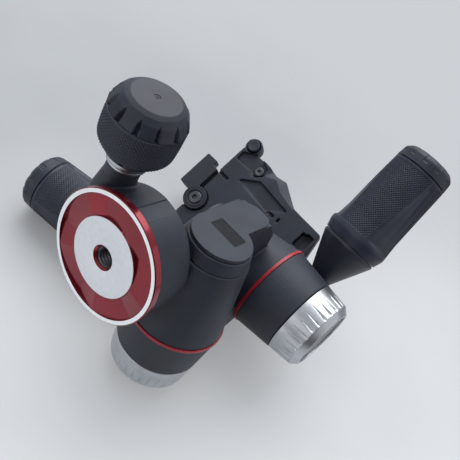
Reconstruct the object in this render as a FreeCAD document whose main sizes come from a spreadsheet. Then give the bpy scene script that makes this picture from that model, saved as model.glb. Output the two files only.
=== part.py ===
import FreeCAD, Part
import os
import Sketcher
from types import SimpleNamespace

# Three way pan and tilt head, millimetres, +Z up along the pan axis.
# The origin is the centre of the face that sits on the tripod.
# +X runs from the front tilt friction knob to the side cap, +Y points to the front.

SIZES = {
    # base disc and pan spindle
    "base_radius": 29.9,
    "base_thickness": 3.6,
    "base_ring_width": 2.0,
    "base_boss_radius": 17.9,
    "base_recess_depth": 1.6,
    "base_boss_flare": 0.5,
    "base_rim_flare": 1.2,
    "base_edge_chamfer": 0.4,
    "base_hub_radius": 8.5,
    "thread_radius": 4.76,
    "thread_depth": 13.0,
    "thread_mouth_radius": 5.7,
    "spindle_radius": 15.0,
    "spindle_top": 20.0,
    "retainer_radius": 16.4,
    "retainer_thickness": 2.0,
    "retainer_screw_radius": 1.5,
    "retainer_screw_circle": 11.6,
    "retainer_screw_head": 2.6,
    "retainer_screw_sink": 1.2,
    "retainer_screw_reach": 6.0,
    "retainer_screw_count": 3,
    # pan housing
    "washer_thickness": 0.5,
    "housing_radius": 28.0,
    "housing_height": 20.0,
    "housing_edge_round": 2.0,
    "housing_foot_chamfer": 0.6,
    "saddle_radius": 17.0,
    "saddle_length": 35.0,
    "saddle_chamfer": 2.5,
    "saddle_root": 15.0,
    "saddle_yaw": 115.0,
    "saddle_rise": 50.0,
    "bush_wall": 1.5,
    "bush_height": 5.2,
    "running_gap": 0.06,
    "free_gap": 0.3,
    # pan knob
    "knob_yaw": 5.0,
    "knob_droop": 5.0,
    "knob_level": 16.0,
    "clamp_boss_radius": 9.4,
    "clamp_boss_end": 11.5,
    "clamp_boss_round": 3.0,
    "knob_neck_radius": 7.6,
    "knob_neck_root": 14.0,
    "knob_neck_root_radius": 9.8,
    "knob_neck_root_round": 6.0,
    "knob_neck_straight": 7.0,
    "knob_neck_end": 33.0,
    "knob_collar_radius": 8.3,
    "knob_collar_length": 1.8,
    "knob_radius": 16.9,
    "knob_length": 32.0,
    "knob_seam": 23.5,
    "knob_root_flare": 3.4,
    "knob_root_round": 0.8,
    "knob_swell_place": 8.5,
    "knob_swell_drop": 0.6,
    "knob_swell_round": 5.0,
    "knob_full_place": 16.0,
    "knob_skirt_step": 0.3,
    "knob_crown_drop": 3.4,
    "knob_crown_taper": 2.4,
    "knob_crown_round": 1.5,
    "knob_top_bevel": 0.6,
    "knob_top_radius": 11.6,
    "knob_core_radius": 11.0,
    "knob_stud_radius": 4.0,
    "knob_stud_start": 9.0,
    "wedge_radius": 6.2,
    "wedge_length": 15.0,
    "wedge_chamfer": 0.8,
    # the two tilt barrels
    "barrel_radius": 25.0,
    "sleeve_taper": 6.9,
    "sleeve_end_chamfer": 0.6,
    "barrel_long": 43.0,
    "barrel_short": 22.6,
    "hub_taper": 2.5,
    "hub_lip": 0.1,
    "ring_width": 1.4,
    "ring_gap": 0.1,
    "ring_proud": 0.2,
    "ring_depth": 3.5,
    "sleeve_bore": 13.0,
    "tilt_bush_length": 9.0,
    "shaft_radius": 9.0,
    "shaft_past_nut": 2.0,
    "hub_web": 5.5,
    "hub_wall": 7.5,
    "cavity_roof": 0.8,
    "spring_radius": 14.5,
    "spring_pack": 3.6,
    "spring_fit": 0.2,
    "spring_step": 1.2,
    "spring_rim": 0.9,
    "spring_lip": 1.4,
    "nut_radius": 15.0,
    "nut_length": 5.0,
    "friction_knob_length": 17.0,
    "friction_knob_step": 0.2,
    "friction_knob_bevel": 3.4,
    "friction_knob_end_taper": 4.7,
    "friction_knob_side_taper": 1.6,
    "friction_knob_wall": 2.2,
    "knob_shaft_gap": 0.6,
    "knob_boss_wall": 3.4,
    "friction_flutes": 30,
    "flute_radius": 1.1,
    "flute_start": 3.0,
    "flute_out": 0.1,
    "flute_backing": 1.6,
    "knob_disc_margin": 1.5,
    "knob_disc_depth": 1.4,
    "knob_disc_fit": 0.1,
    "knob_disc_rim": 0.7,
    "knob_disc_rim_width": 2.4,
    "knob_disc_rim_foot": 3.0,
    "knob_disc_face": 0.4,
    # front tilt barrel and its place
    "front_axis_y": 22.5,
    "front_axis_z": 43.2,
    "front_ring_x": 31.65,
    # side tilt barrel and its place
    "side_axis_x": 22.8,
    "side_axis_z": 97.4,
    "side_ring_y": 38.5,
    "side_tilt": 42.0,
    # elbow arms and side cap
    "arm_half_width": 15.0,
    "arm_thickness": 6.2,
    "arm_left_outer": 21.8,
    "arm_left_shoulder": 25.8,
    "arm_left_round": 5.0,
    "arm_left_slant": 10.0,
    "arm_over_ring": 1.2,
    "arm_past_bore": 0.4,
    "arm_front_edge": 4.2,
    "arm_rear_edge": 15.7,
    "arm_below_cap": 2.0,
    "arm_round": 6.0,
    "arm_top_in": 9.0,
    "arm_top_drop": 8.5,
    "arm_meet_out": 3.4,
    "arm_meet_drop": 5.0,
    "arm_root_out": 0.6,
    "arm_neck_in": 8.5,
    "arm_neck_rise": 11.5,
    "arm_foot_rise": 4.5,
    "cap_thickness": 2.0,
    "cap_radius": 15.2,
    "end_disc_radius": 15.9,
    "end_disc_step": 0.5,
    "cap_height": 38.5,
    "cap_shoulder": 29.5,
    "cap_shoulder_round": 4.0,
    "cap_rear_slant": 7.7,
    "cap_top_drop": 2.5,
    "cap_top_round": 3.0,
    "cap_front_slant": 2.6,
    "cap_front_drop": 8.0,
    "cap_front_round": 2.0,
    "label_length": 16.0,
    "label_width": 8.6,
    "label_depth": 0.6,
    "label_fit": 0.15,
    "label_low": 0.4,
    "label_aside": 0.5,
    # levers
    "lever_droop": 12.5,
    "lever_rise": 1.0,
    "lever_station": 12.2,
    "socket_radius": 8.5,
    "socket_length": 20.6,
    "socket_chamfer": 0.8,
    "stud_radius": 4.0,
    "stud_end_gap": 0.5,
    "lever_root_radius": 7.0,
    "lever_cone_length": 24.0,
    "lever_seam_radius": 16.6,
    "lever_lip": 1.0,
    "lever_lip_taper": 0.2,
    "lever_lip_drop": 0.6,
    "lever_lip_round": 0.8,
    "tube_radius": 8.0,
    "tube_length": 60.0,
    "tube_wall": 1.5,
    "lever_seat": 6.0,
    "grip_over_tube": 2.8,
    "grip_bulge_radius": 18.0,
    "grip_bulge_place": 5.5,
    "grip_bulge_round": 5.0,
    "grip_waist_radius": 17.0,
    "grip_waist_place": 17.0,
    "grip_waist_round": 8.0,
    "grip_end_radius": 15.8,
    "grip_core_radius": 12.5,
    "grip_cap_length": 10.0,
    "grip_cap_gap": 0.2,
    "grip_cap_step": 0.2,
    "grip_cap_bevel": 2.4,
    "grip_cap_taper": 0.6,
    "grip_cap_crown": 0.6,
    "grip_cap_side_round": 2.5,
    "grip_cap_edge_round": 1.5,
    "grip_cap_end_radius": 12.6,
    # platform deck, in the frame of the side tilt axis
    "deck_clearance": 0.8,
    "deck_thickness": 7.2,
    "deck_left": 9.0,
    "deck_right": 54.6,
    "deck_front": 36.0,
    "deck_rear": 42.0,
    "deck_nose_x": 44.5,
    "deck_nose_chamfer": 16.0,
    "deck_nose_drop": 3.4,
    "deck_nose_round": 1.0,
    "deck_neck_y": 9.8,
    "deck_neck_out": 0.8,
    "deck_neck_round": 4.0,
    "deck_bulge_y": 6.5,
    "deck_dent_start": 22.1,
    "deck_dent_depth": 1.5,
    "deck_dent_round": 2.0,
    "deck_corner_round": 3.0,
    "underside_depth": 1.4,
    "pocket_rear_in": 19.8,
    "pocket_rear_y": 13.3,
    "pocket_bend_in": 13.0,
    "pocket_bend_y": 23.2,
    "pocket_front_in": 14.5,
    "pocket_front_y": 3.4,
    "pocket_far_in": 22.4,
    "pocket_far_y": 17.8,
    "window_in": 15.5,
    "window_from_front": 12.0,
    "window_length": 10.0,
    "window_width": 4.5,
    "deck_skin": 1.0,
    "front_arm_left": 12.0,
    "front_arm_right": 22.0,
    "front_arm_in": 2.0,
    "front_arm_round": 2.0,
    "front_arm_top_in": 8.0,
    "front_arm_top_round": 3.0,
    "front_arm_lap": 4.0,
    "rear_arm_half_width": 11.0,
    "rear_cap_inset": 1.0,
    "rear_cap_round": 2.0,
    "recess_centre_x": 22.8,
    "recess_centre_y": 6.0,
    "plate_length": 52.0,
    "plate_width": 42.5,
    "recess_depth": 4.4,
    "plate_thickness": 7.2,
    "plate_bevel": 2.2,
    "plate_gap": 0.4,
    "plate_seat_gap": 0.1,
    "pad_height": 1.0,
    "pad_width": 7.0,
    "pad_margin": 3.0,
    # camera screw in the plate
    "camera_screw_radius": 3.175,
    "camera_shank_radius": 2.6,
    "camera_screw_height": 5.5,
    "camera_screw_head": 8.5,
    "camera_screw_head_height": 3.0,
    # quick release lever and safety button
    "catch_pivot_x": 7.5,
    "catch_pivot_y": 39.0,
    "catch_hub_radius": 7.6,
    "catch_drop": 1.8,
    "catch_hub_height": 3.5,
    "catch_arm_length": 26.0,
    "catch_arm_height": 6.4,
    "catch_arm_depth": 8.4,
    "catch_tab_rear": 15.7,
    "catch_tab_start": 1.5,
    "catch_tab_round": 1.0,
    "catch_tab_step": 3.6,
    "catch_neck_start": 2.6,
    "catch_neck_root": 1.0,
    "catch_neck_drop": 2.4,
    "catch_web_edge": 0.2,
    "catch_web_left": 3.6,
    "catch_web_right": 12.0,
    "catch_web_front": 1.5,
    "catch_slot_in": 0.9,
    "catch_slot_start": 6.32,
    "catch_screw_radius": 2.0,
    "catch_screw_head": 4.2,
    "catch_screw_head_height": 2.2,
    "button_x": 56.6,
    "button_y": 37.6,
    "button_radius": 4.0,
    "button_proud": 1.9,
    "button_length": 5.2,
    "button_room": 1.6,
    "lug_radius": 5.6,
    "jaw_screw_x": 46.0,
    "jaw_screw_y": 24.5,
    "jaw_screw_radius": 3.6,
    "jaw_screw_sink": 0.3,
    # round level on the deck
    "level_x": 9.0,
    "level_y": 28.2,
    "level_radius": 5.0,
    "level_depth": 3.4,
}


class Size:
    """A length or angle that knows its number now and its expression in the sheet."""

    def __init__(self, value, text):
        self.value = value
        self.text = text

    def __add__(self, other):
        return combine(self, other, "+", lambda a, b: a + b)

    def __radd__(self, other):
        return combine(other, self, "+", lambda a, b: a + b)

    def __sub__(self, other):
        return combine(self, other, "-", lambda a, b: a - b)

    def __rsub__(self, other):
        return combine(other, self, "-", lambda a, b: a - b)

    def __mul__(self, other):
        return combine(self, other, "*", lambda a, b: a * b)

    def __rmul__(self, other):
        return combine(other, self, "*", lambda a, b: a * b)

    def __truediv__(self, other):
        return combine(self, other, "/", lambda a, b: a / b)

    def __neg__(self):
        return combine(0, self, "-", lambda a, b: a - b)


def number(thing):
    return thing.value if isinstance(thing, Size) else float(thing)


def words(thing):
    return thing.text if isinstance(thing, Size) else f"{thing}"


def combine(left, right, sign, work):
    text = f"({words(left)} {sign} {words(right)})"
    return Size(work(number(left), number(right)), text)


doc = FreeCAD.newDocument("pan_tilt_head")
sheet = doc.addObject("Spreadsheet::Sheet", "sizes")
for row, (name, value) in enumerate(SIZES.items(), start=1):
    sheet.set(f"A{row}", name)
    sheet.set(f"B{row}", str(value))
    sheet.setAlias(f"B{row}", name)
doc.recompute()
at = SimpleNamespace(**{name: Size(value, f"sizes.{name}") for name, value in SIZES.items()})


def spot(x=0, y=0, z=0, yaw=0, pitch=0, roll=0):
    """Expression of a placement: a point and its turns about Z, Y and X."""
    point = f"vector({words(x)}; {words(y)}; {words(z)})"
    turns = f"rotation({words(yaw)}; {words(pitch)}; {words(roll)})"
    return f"placement({point}; {turns})"


def chain(*frames):
    return " * ".join(frames)


WORLD = spot()


def piece(label, frame=WORLD):
    body = doc.addObject("PartDesign::Body", label)
    body.Label = label
    body.setExpression("Placement", frame)
    return body


def origin_item(body, role):
    return next(item for item in body.Origin.OriginFeatures if item.Role == role)


def sketch_on(body, frame):
    sketch = body.newObject("Sketcher::SketchObject", "sketch")
    sketch.AttachmentSupport = [(origin_item(body, "XY_Plane"), "")]
    sketch.MapMode = "FlatFace"
    sketch.setExpression("AttachmentOffset", frame)
    return sketch


def hold(sketch, kind, line, end, length, axis):
    """Ties one coordinate of a corner to its size, or to the axis where it is zero."""
    if not isinstance(length, Size) and length == 0:
        sketch.addConstraint(Sketcher.Constraint("PointOnObject", line, end, axis))
        return
    index = sketch.addConstraint(Sketcher.Constraint(kind, line, end, number(length)))
    sketch.setExpression(f"Constraints[{index}]", words(length))


def polygon(sketch, points):
    """Closed outline through (x, y) or (x, y, corner radius) points."""
    spots = [FreeCAD.Vector(number(p[0]), number(p[1]), 0) for p in points]
    count = len(points)
    for i in range(count):
        sketch.addGeometry(Part.LineSegment(spots[i], spots[(i + 1) % count]), False)
    for i in range(count):
        sketch.addConstraint(Sketcher.Constraint("Coincident", (i - 1) % count, 2, i, 1))
    for i, point in enumerate(points):
        hold(sketch, "DistanceX", i, 1, point[0], -2)
        hold(sketch, "DistanceY", i, 1, point[1], -1)
    for i, point in enumerate(points):
        if len(point) < 3:
            continue
        before = (spots[i - 1] + spots[i]) / 2
        after = (spots[i] + spots[(i + 1) % count]) / 2
        sketch.fillet((i - 1) % count, i, before, after, number(point[2]), True, True)
        arcs = [k for k, g in enumerate(sketch.Geometry) if g.TypeId == "Part::GeomArcOfCircle"]
        index = sketch.addConstraint(Sketcher.Constraint("Radius", arcs[-1], number(point[2])))
        sketch.setExpression(f"Constraints[{index}]", words(point[2]))


def circle(sketch, x, y, radius):
    centre = FreeCAD.Vector(number(x), number(y), 0)
    shape = Part.Circle(centre, FreeCAD.Vector(0, 0, 1), number(radius))
    line = sketch.addGeometry(shape, False)
    hold(sketch, "DistanceX", line, 3, x, -2)
    hold(sketch, "DistanceY", line, 3, y, -1)
    index = sketch.addConstraint(Sketcher.Constraint("Radius", line, number(radius)))
    sketch.setExpression(f"Constraints[{index}]", words(radius))


def turn(body, points, frame=WORLD, cut=False):
    """Full turn of an outline of (station, radius) points about the frame's X axis."""
    sketch = sketch_on(body, frame)
    polygon(sketch, points)
    kind = "PartDesign::Groove" if cut else "PartDesign::Revolution"
    feature = body.newObject(kind, "turn")
    feature.Profile = sketch
    feature.ReferenceAxis = (sketch, ["H_Axis"])
    feature.Angle = 360
    return feature


def push(body, sketch, length, cut):
    """Extrudes a sketch along its +Z, as metal or as a cut."""
    feature = body.newObject("PartDesign::Pocket" if cut else "PartDesign::Pad", "push")
    feature.Profile = sketch
    feature.Reversed = cut
    feature.setExpression("Length", words(length))
    return feature


def slab(body, points, length, frame=WORLD, cut=False):
    sketch = sketch_on(body, frame)
    polygon(sketch, points)
    return push(body, sketch, length, cut)


def rod(body, radius, length, frame=WORLD, cut=False, places=((0, 0),)):
    """Round bars or holes of one radius that stand on the frame's XY plane."""
    sketch = sketch_on(body, frame)
    for x, y in places:
        circle(sketch, x, y, radius)
    return push(body, sketch, length, cut)


def ring_of(body, feature, role, count):
    """Repeats a feature around one of the body's own axes."""
    pattern = body.newObject("PartDesign::PolarPattern", "pattern")
    pattern.Originals = [feature]
    pattern.Axis = (origin_item(body, role), [""])
    pattern.Angle = 360
    pattern.setExpression("Occurrences", words(count))
    body.Tip = pattern
    return pattern


def tube(label, frame, start, end, inner, outer):
    body = piece(label, frame)
    turn(body, [(start, inner), (end, inner), (end, outer), (start, outer)])
    return body


# Sizes that follow from others.

KNOB_SIDE_OFFSET = at.spindle_radius + at.wedge_radius + at.free_gap
SLEEVE_SMALL = at.barrel_radius - at.sleeve_taper
HUB_SMALL = at.barrel_radius - at.hub_taper
HUB_CAVITY = at.barrel_radius - at.hub_wall
RING_INNER = at.barrel_radius - at.ring_depth
LEVER_OFFSET = at.barrel_radius + at.lever_rise
DECK_BOTTOM = at.barrel_radius + at.deck_clearance
DECK_TOP = DECK_BOTTOM + at.deck_thickness

UPRIGHT = spot(pitch=-90)          # turned pieces stand with their X axis up
LOOKING_FORWARD = spot(yaw=90, roll=90)   # sketch in Y and Z, pushed along +X
FROM_FRONT = spot(roll=90)         # sketch in X and Z, pushed along -Y


# Root: what is screwed to the tripod.

def base_disc():
    body = piece("base_disc", UPRIGHT)
    rim = at.base_radius - at.base_edge_chamfer
    rim_inner = rim - at.base_ring_width
    turn(body, [
        (0, 0),
        (0, at.base_boss_radius),
        (at.base_recess_depth, at.base_boss_radius + at.base_boss_flare),
        (at.base_recess_depth, rim_inner - at.base_rim_flare),
        (0, rim_inner),
        (0, rim),
        (at.base_edge_chamfer, at.base_radius),
        (at.base_thickness, at.base_radius),
        (at.base_thickness, at.base_hub_radius),
        (at.spindle_top, at.base_hub_radius),
        (at.spindle_top, 0),
    ])
    mouth = at.thread_mouth_radius - at.thread_radius
    turn(body, [
        (0, 0),
        (0, at.thread_mouth_radius),
        (mouth, at.thread_radius),
        (at.thread_depth, at.thread_radius),
        (at.thread_depth, 0),
    ], cut=True)


RETAINER_TOP = at.spindle_top + at.retainer_thickness
SCREW_HEAD_START = RETAINER_TOP - at.retainer_screw_sink
SCREW_TIP = at.spindle_top - at.retainer_screw_reach


def screw_ring(body, radius, start, end, cut=False):
    """One bar or hole at each retainer screw, between two heights."""
    place = chain(spot(x=start), LOOKING_FORWARD)
    first = rod(body, radius, end - start, place, cut, [(at.retainer_screw_circle, 0)])
    ring_of(body, first, "X_Axis", at.retainer_screw_count)


def pan_spindle():
    body = tube("pan_spindle", UPRIGHT, at.base_thickness, at.spindle_top,
                at.base_hub_radius, at.spindle_radius)
    screw_ring(body, at.retainer_screw_radius, SCREW_TIP, at.spindle_top, cut=True)


def pan_retainer():
    body = tube("pan_retainer", UPRIGHT, at.spindle_top, RETAINER_TOP,
                at.thread_radius, at.retainer_radius)
    screw_ring(body, at.retainer_screw_radius, at.spindle_top, RETAINER_TOP, cut=True)
    screw_ring(body, at.retainer_screw_head, SCREW_HEAD_START, RETAINER_TOP, cut=True)


def retainer_screws():
    body = piece("retainer_screws", UPRIGHT)
    screw_ring(body, at.retainer_screw_radius, SCREW_TIP, RETAINER_TOP)
    screw_ring(body, at.retainer_screw_head, SCREW_HEAD_START, RETAINER_TOP)


# Frames of the axes. A barrel's frame has its origin in the red ring's middle
# plane and its X axis towards the friction knob. A lever's frame has its X
# axis along the lever and its origin above the barrel's axis.

FRONT_BARREL = spot(-at.front_ring_x, at.front_axis_y, at.front_axis_z, yaw=180)
SIDE_BARREL = spot(-at.side_axis_x, at.side_ring_y, at.side_axis_z, yaw=90)
PLATFORM = spot(-at.side_axis_x, 0, at.side_axis_z, pitch=-at.side_tilt)
PLATFORM_BARREL = spot(0, at.side_ring_y, 0, yaw=90)
LEVER_TURN = spot(pitch=at.lever_droop)
LEVER_LIFT = spot(z=LEVER_OFFSET)
FRONT_LEVER = chain(
    spot(-at.front_ring_x - at.lever_station, at.front_axis_y, at.front_axis_z, yaw=-90),
    LEVER_TURN, LEVER_LIFT)
PLATFORM_LEVER = chain(spot(y=at.side_ring_y + at.lever_station), LEVER_TURN, LEVER_LIFT)
PAN_KNOB = chain(
    spot(z=at.knob_level, yaw=at.knob_yaw),
    spot(y=-KNOB_SIDE_OFFSET, pitch=at.knob_droop))

RING_HALF = at.ring_width / 2
HOUSING_BOTTOM = at.base_thickness + at.washer_thickness
HOUSING_TOP = HOUSING_BOTTOM + at.housing_height
BUSH_OUTER = at.spindle_radius + at.running_gap + at.bush_wall


def sleeve_radius(station):
    """Radius of the long cone at a station behind the ring."""
    return at.barrel_radius + at.sleeve_taper / at.barrel_long * station


def sleeve(body, frame):
    """Long cone of a barrel, bored for the bushes of the tilt shaft."""
    turn(body, [
        (-at.barrel_long, 0),
        (-at.barrel_long, SLEEVE_SMALL - at.sleeve_end_chamfer),
        (at.sleeve_end_chamfer - at.barrel_long, SLEEVE_SMALL),
        (-RING_HALF, sleeve_radius(-RING_HALF)),
        (-RING_HALF, 0),
    ], frame)


def sleeve_bore(body, frame):
    turn(body, [
        (-at.barrel_long, 0),
        (-at.barrel_long, at.sleeve_bore),
        (-RING_HALF, at.sleeve_bore),
        (-RING_HALF, 0),
    ], frame, cut=True)


def hub(body, frame):
    """Short cone of a barrel, outside of the ring, still solid."""
    turn(body, [
        (RING_HALF, 0),
        (RING_HALF, at.barrel_radius - at.hub_lip),
        (at.barrel_short, HUB_SMALL),
        (at.barrel_short, 0),
    ], frame)


def hub_bore(body, frame):
    """Bore for the shaft and the cavity for the friction spring."""
    web_end = RING_HALF + at.hub_web
    turn(body, [
        (RING_HALF, 0),
        (RING_HALF, at.shaft_radius),
        (web_end, at.shaft_radius),
        (web_end, HUB_CAVITY),
        (at.barrel_short, HUB_CAVITY),
        (at.barrel_short, 0),
    ], frame, cut=True)


ARM_START = at.barrel_long + at.free_gap
ARM_END = ARM_START + at.arm_thickness


def end_disc(body, frame):
    """Round end of the arm that closes the thin end of a barrel."""
    turn(body, [
        (-ARM_END, 0),
        (-ARM_END, at.end_disc_radius),
        (-ARM_START, SLEEVE_SMALL - at.end_disc_step),
        (-ARM_START, 0),
    ], frame)


def end_bore(body, frame):
    turn(body, [
        (-ARM_END, 0),
        (-ARM_END, at.shaft_radius),
        (-ARM_START, at.shaft_radius),
        (-ARM_START, 0),
    ], frame, cut=True)


def socket(body, frame):
    """Boss that a lever's stud screws into."""
    turn(body, [
        (-at.socket_radius, 0),
        (-at.socket_radius, at.socket_radius),
        (at.socket_length - at.socket_chamfer, at.socket_radius),
        (at.socket_length, at.socket_radius - at.socket_chamfer),
        (at.socket_length, 0),
    ], frame)


def socket_bore(body, frame):
    hole = at.stud_radius + at.running_gap
    turn(body, [
        (-at.socket_radius / 2, 0),
        (-at.socket_radius / 2, hole),
        (at.socket_length, hole),
        (at.socket_length, 0),
    ], frame, cut=True)


# Pan: the housing that turns on the spindle, and its locking knob.

def pan_housing():
    body = piece("pan_housing")
    turn(body, [
        (HOUSING_BOTTOM, 0),
        (HOUSING_BOTTOM, at.housing_radius - at.housing_foot_chamfer),
        (HOUSING_BOTTOM + at.housing_foot_chamfer, at.housing_radius),
        (HOUSING_TOP, at.housing_radius, at.housing_edge_round),
        (HOUSING_TOP, 0),
    ], UPRIGHT)
    turn(body, [
        (0, 0),
        (0, at.saddle_radius - at.saddle_chamfer),
        (at.saddle_chamfer, at.saddle_radius),
        (at.saddle_length, at.saddle_radius),
        (at.saddle_length, 0),
    ], spot(z=at.saddle_root, yaw=at.saddle_yaw, pitch=-at.saddle_rise))
    turn(body, [
        (-at.clamp_boss_end, 0),
        (-at.clamp_boss_end, at.clamp_boss_radius, at.clamp_boss_round),
        (at.knob_neck_root, at.knob_neck_root_radius, at.knob_neck_root_round),
        (at.knob_neck_end - at.knob_neck_straight, at.knob_neck_radius),
        (at.knob_neck_end, at.knob_neck_radius),
        (at.knob_neck_end, 0),
    ], PAN_KNOB)
    sleeve(body, FRONT_BARREL)
    swing_floor = at.front_axis_z - at.end_disc_radius - at.free_gap * 2
    sleeve_end = at.barrel_long - at.front_ring_x
    slab(body, [
        (sleeve_end, -at.housing_radius),
        (sleeve_end + at.housing_radius, -at.housing_radius),
        (sleeve_end + at.housing_radius, at.housing_radius * 2),
        (sleeve_end, at.housing_radius * 2),
    ], at.front_axis_z, spot(z=swing_floor), cut=True)
    sleeve_bore(body, FRONT_BARREL)
    cavity_top = RETAINER_TOP + at.free_gap
    cavity = at.retainer_radius + at.free_gap
    turn(body, [
        (HOUSING_BOTTOM, 0),
        (HOUSING_BOTTOM, BUSH_OUTER),
        (HOUSING_BOTTOM + at.bush_height, BUSH_OUTER),
        (HOUSING_BOTTOM + at.bush_height, at.spindle_radius + at.free_gap),
        (at.spindle_top - at.free_gap, at.spindle_radius + at.free_gap),
        (at.spindle_top - at.free_gap, cavity),
        (cavity_top, cavity),
        (cavity_top, 0),
    ], UPRIGHT, cut=True)
    turn(body, [
        (-at.knob_stud_start, 0),
        (-at.knob_stud_start, at.wedge_radius),
        (at.knob_stud_start, at.wedge_radius),
        (at.knob_stud_start, at.knob_stud_radius + at.running_gap),
        (at.knob_neck_end, at.knob_stud_radius + at.running_gap),
        (at.knob_neck_end, 0),
    ], PAN_KNOB, cut=True)


def pan_fittings():
    tube("pan_bush", UPRIGHT, HOUSING_BOTTOM, HOUSING_BOTTOM + at.bush_height,
         at.spindle_radius + at.running_gap, BUSH_OUTER)
    tube("pan_washer", UPRIGHT, at.base_thickness, HOUSING_BOTTOM,
         at.spindle_radius + at.running_gap, at.housing_radius - at.housing_edge_round)
    wedge = piece("pan_wedge", PAN_KNOB)
    turn(wedge, [
        (at.knob_stud_start - at.wedge_length, 0),
        (at.knob_stud_start - at.wedge_length, at.wedge_radius - at.wedge_chamfer),
        (at.wedge_chamfer + at.knob_stud_start - at.wedge_length, at.wedge_radius),
        (at.knob_stud_start, at.wedge_radius),
        (at.knob_stud_start, 0),
    ])
    tube("knob_collar", PAN_KNOB, at.knob_neck_end, at.knob_neck_end + at.knob_collar_length,
         at.knob_stud_radius + at.running_gap, at.knob_collar_radius)


def pan_knob():
    start = at.knob_neck_end + at.knob_collar_length + at.free_gap
    end = start + at.knob_length
    seam = start + at.knob_seam
    core = piece("pan_knob_core", PAN_KNOB)
    turn(core, [
        (start, at.knob_stud_radius),
        (start, at.knob_core_radius),
        (seam, at.knob_core_radius),
        (seam, at.knob_radius),
        (end - at.knob_crown_drop, at.knob_radius - at.knob_crown_taper, at.knob_crown_round),
        (end - at.knob_top_bevel, at.knob_top_radius + at.knob_top_bevel, at.knob_root_round),
        (end, at.knob_top_radius - at.knob_top_bevel),
        (end, 0),
        (seam, 0),
        (seam, at.knob_stud_radius),
    ])
    sleeve_piece = piece("pan_knob_sleeve", PAN_KNOB)
    turn(sleeve_piece, [
        (start, at.knob_core_radius),
        (start, at.knob_collar_radius + at.knob_root_flare, at.knob_root_round),
        (start + at.knob_swell_place, at.knob_radius - at.knob_swell_drop, at.knob_swell_round),
        (start + at.knob_full_place, at.knob_radius - at.knob_skirt_step),
        (seam, at.knob_radius - at.knob_skirt_step),
        (seam, at.knob_core_radius),
    ])
    stud = piece("pan_knob_stud", PAN_KNOB)
    turn(stud, [
        (at.knob_stud_start, 0),
        (at.knob_stud_start, at.knob_stud_radius),
        (seam, at.knob_stud_radius),
        (seam, 0),
    ])


# Barrel fittings: the same for the front tilt and the side tilt.

def barrel_fittings(name, fixed, moving):
    """Pieces of one barrel. Its frames: the sleeve's side and the hub's side."""
    ring_start = at.ring_gap - RING_HALF
    ring = piece(f"{name}_ring", moving)
    turn(ring, [
        (ring_start, RING_INNER),
        (RING_HALF, RING_INNER),
        (RING_HALF, at.barrel_radius + at.ring_proud),
        (ring_start, at.barrel_radius + at.ring_proud),
    ])
    web_end = RING_HALF + at.hub_web
    spring_end = web_end + at.spring_pack
    nut_end = spring_end + at.nut_length
    shaft = piece(f"{name}_shaft", moving)
    turn(shaft, [
        (-ARM_END, 0),
        (-ARM_END, at.shaft_radius),
        (nut_end + at.shaft_past_nut, at.shaft_radius),
        (nut_end + at.shaft_past_nut, 0),
    ])
    bushes = piece(f"{name}_bushes", fixed)
    running = at.shaft_radius + at.running_gap
    for start in (-at.barrel_long, -RING_HALF - at.tilt_bush_length):
        turn(bushes, [
            (start, running),
            (start + at.tilt_bush_length, running),
            (start + at.tilt_bush_length, at.sleeve_bore),
            (start, at.sleeve_bore),
        ])
    tube(f"{name}_friction_washer", moving, ring_start, RING_HALF,
         at.shaft_radius, RING_INNER)
    spring = piece(f"{name}_spring", moving)
    half = at.spring_pack / 2
    turn(spring, [
        (web_end, at.shaft_radius + at.spring_fit),
        (web_end + half, at.spring_radius - at.spring_step),
        (web_end + half, at.spring_radius),
        (web_end + half + at.spring_rim, at.spring_radius),
        (spring_end, at.shaft_radius + at.spring_lip),
        (spring_end, at.shaft_radius + at.spring_fit),
    ])
    tube(f"{name}_friction_nut", moving, spring_end, nut_end,
         at.shaft_radius + at.running_gap, at.nut_radius)
    friction_knob(name, moving, nut_end)


def friction_knob(name, frame, nut_end):
    start = at.barrel_short + at.free_gap
    end = start + at.friction_knob_length
    side = HUB_SMALL - at.friction_knob_side_taper
    end_radius = HUB_SMALL - at.friction_knob_end_taper
    disc_radius = end_radius - at.knob_disc_margin
    floor = end - at.knob_disc_depth
    inside = floor - at.friction_knob_wall
    shell = piece(f"{name}_knob_shell", frame)
    turn(shell, [
        (start, HUB_SMALL - at.friction_knob_step),
        (end - at.friction_knob_bevel, side),
        (end, end_radius),
        (end, disc_radius + at.knob_disc_fit),
        (floor, disc_radius + at.knob_disc_fit),
        (floor, 0),
        (inside, 0),
        (inside, at.shaft_radius + at.knob_shaft_gap),
        (nut_end, at.shaft_radius + at.knob_shaft_gap),
        (nut_end, at.shaft_radius + at.knob_boss_wall),
        (inside, at.shaft_radius + at.knob_boss_wall),
        (inside, side - at.friction_knob_wall - at.flute_backing),
        (start, HUB_SMALL - at.friction_knob_wall - at.flute_backing),
    ])
    flute = rod(shell, at.flute_radius, at.friction_knob_length - at.friction_knob_bevel,
                chain(spot(x=start + at.flute_start), LOOKING_FORWARD), True,
                [(HUB_SMALL + at.flute_out, 0)])
    ring_of(shell, flute, "X_Axis", at.friction_flutes)
    disc = piece(f"{name}_knob_disc", frame)
    turn(disc, [
        (floor, 0),
        (floor, disc_radius),
        (floor + at.knob_disc_rim, disc_radius),
        (floor + at.knob_disc_rim, disc_radius - at.knob_disc_rim_width),
        (floor + at.knob_disc_face, disc_radius - at.knob_disc_rim_foot),
        (floor + at.knob_disc_face, 0),
    ])


# Levers: twisted to lock a barrel, and pulled out for more reach.

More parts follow.
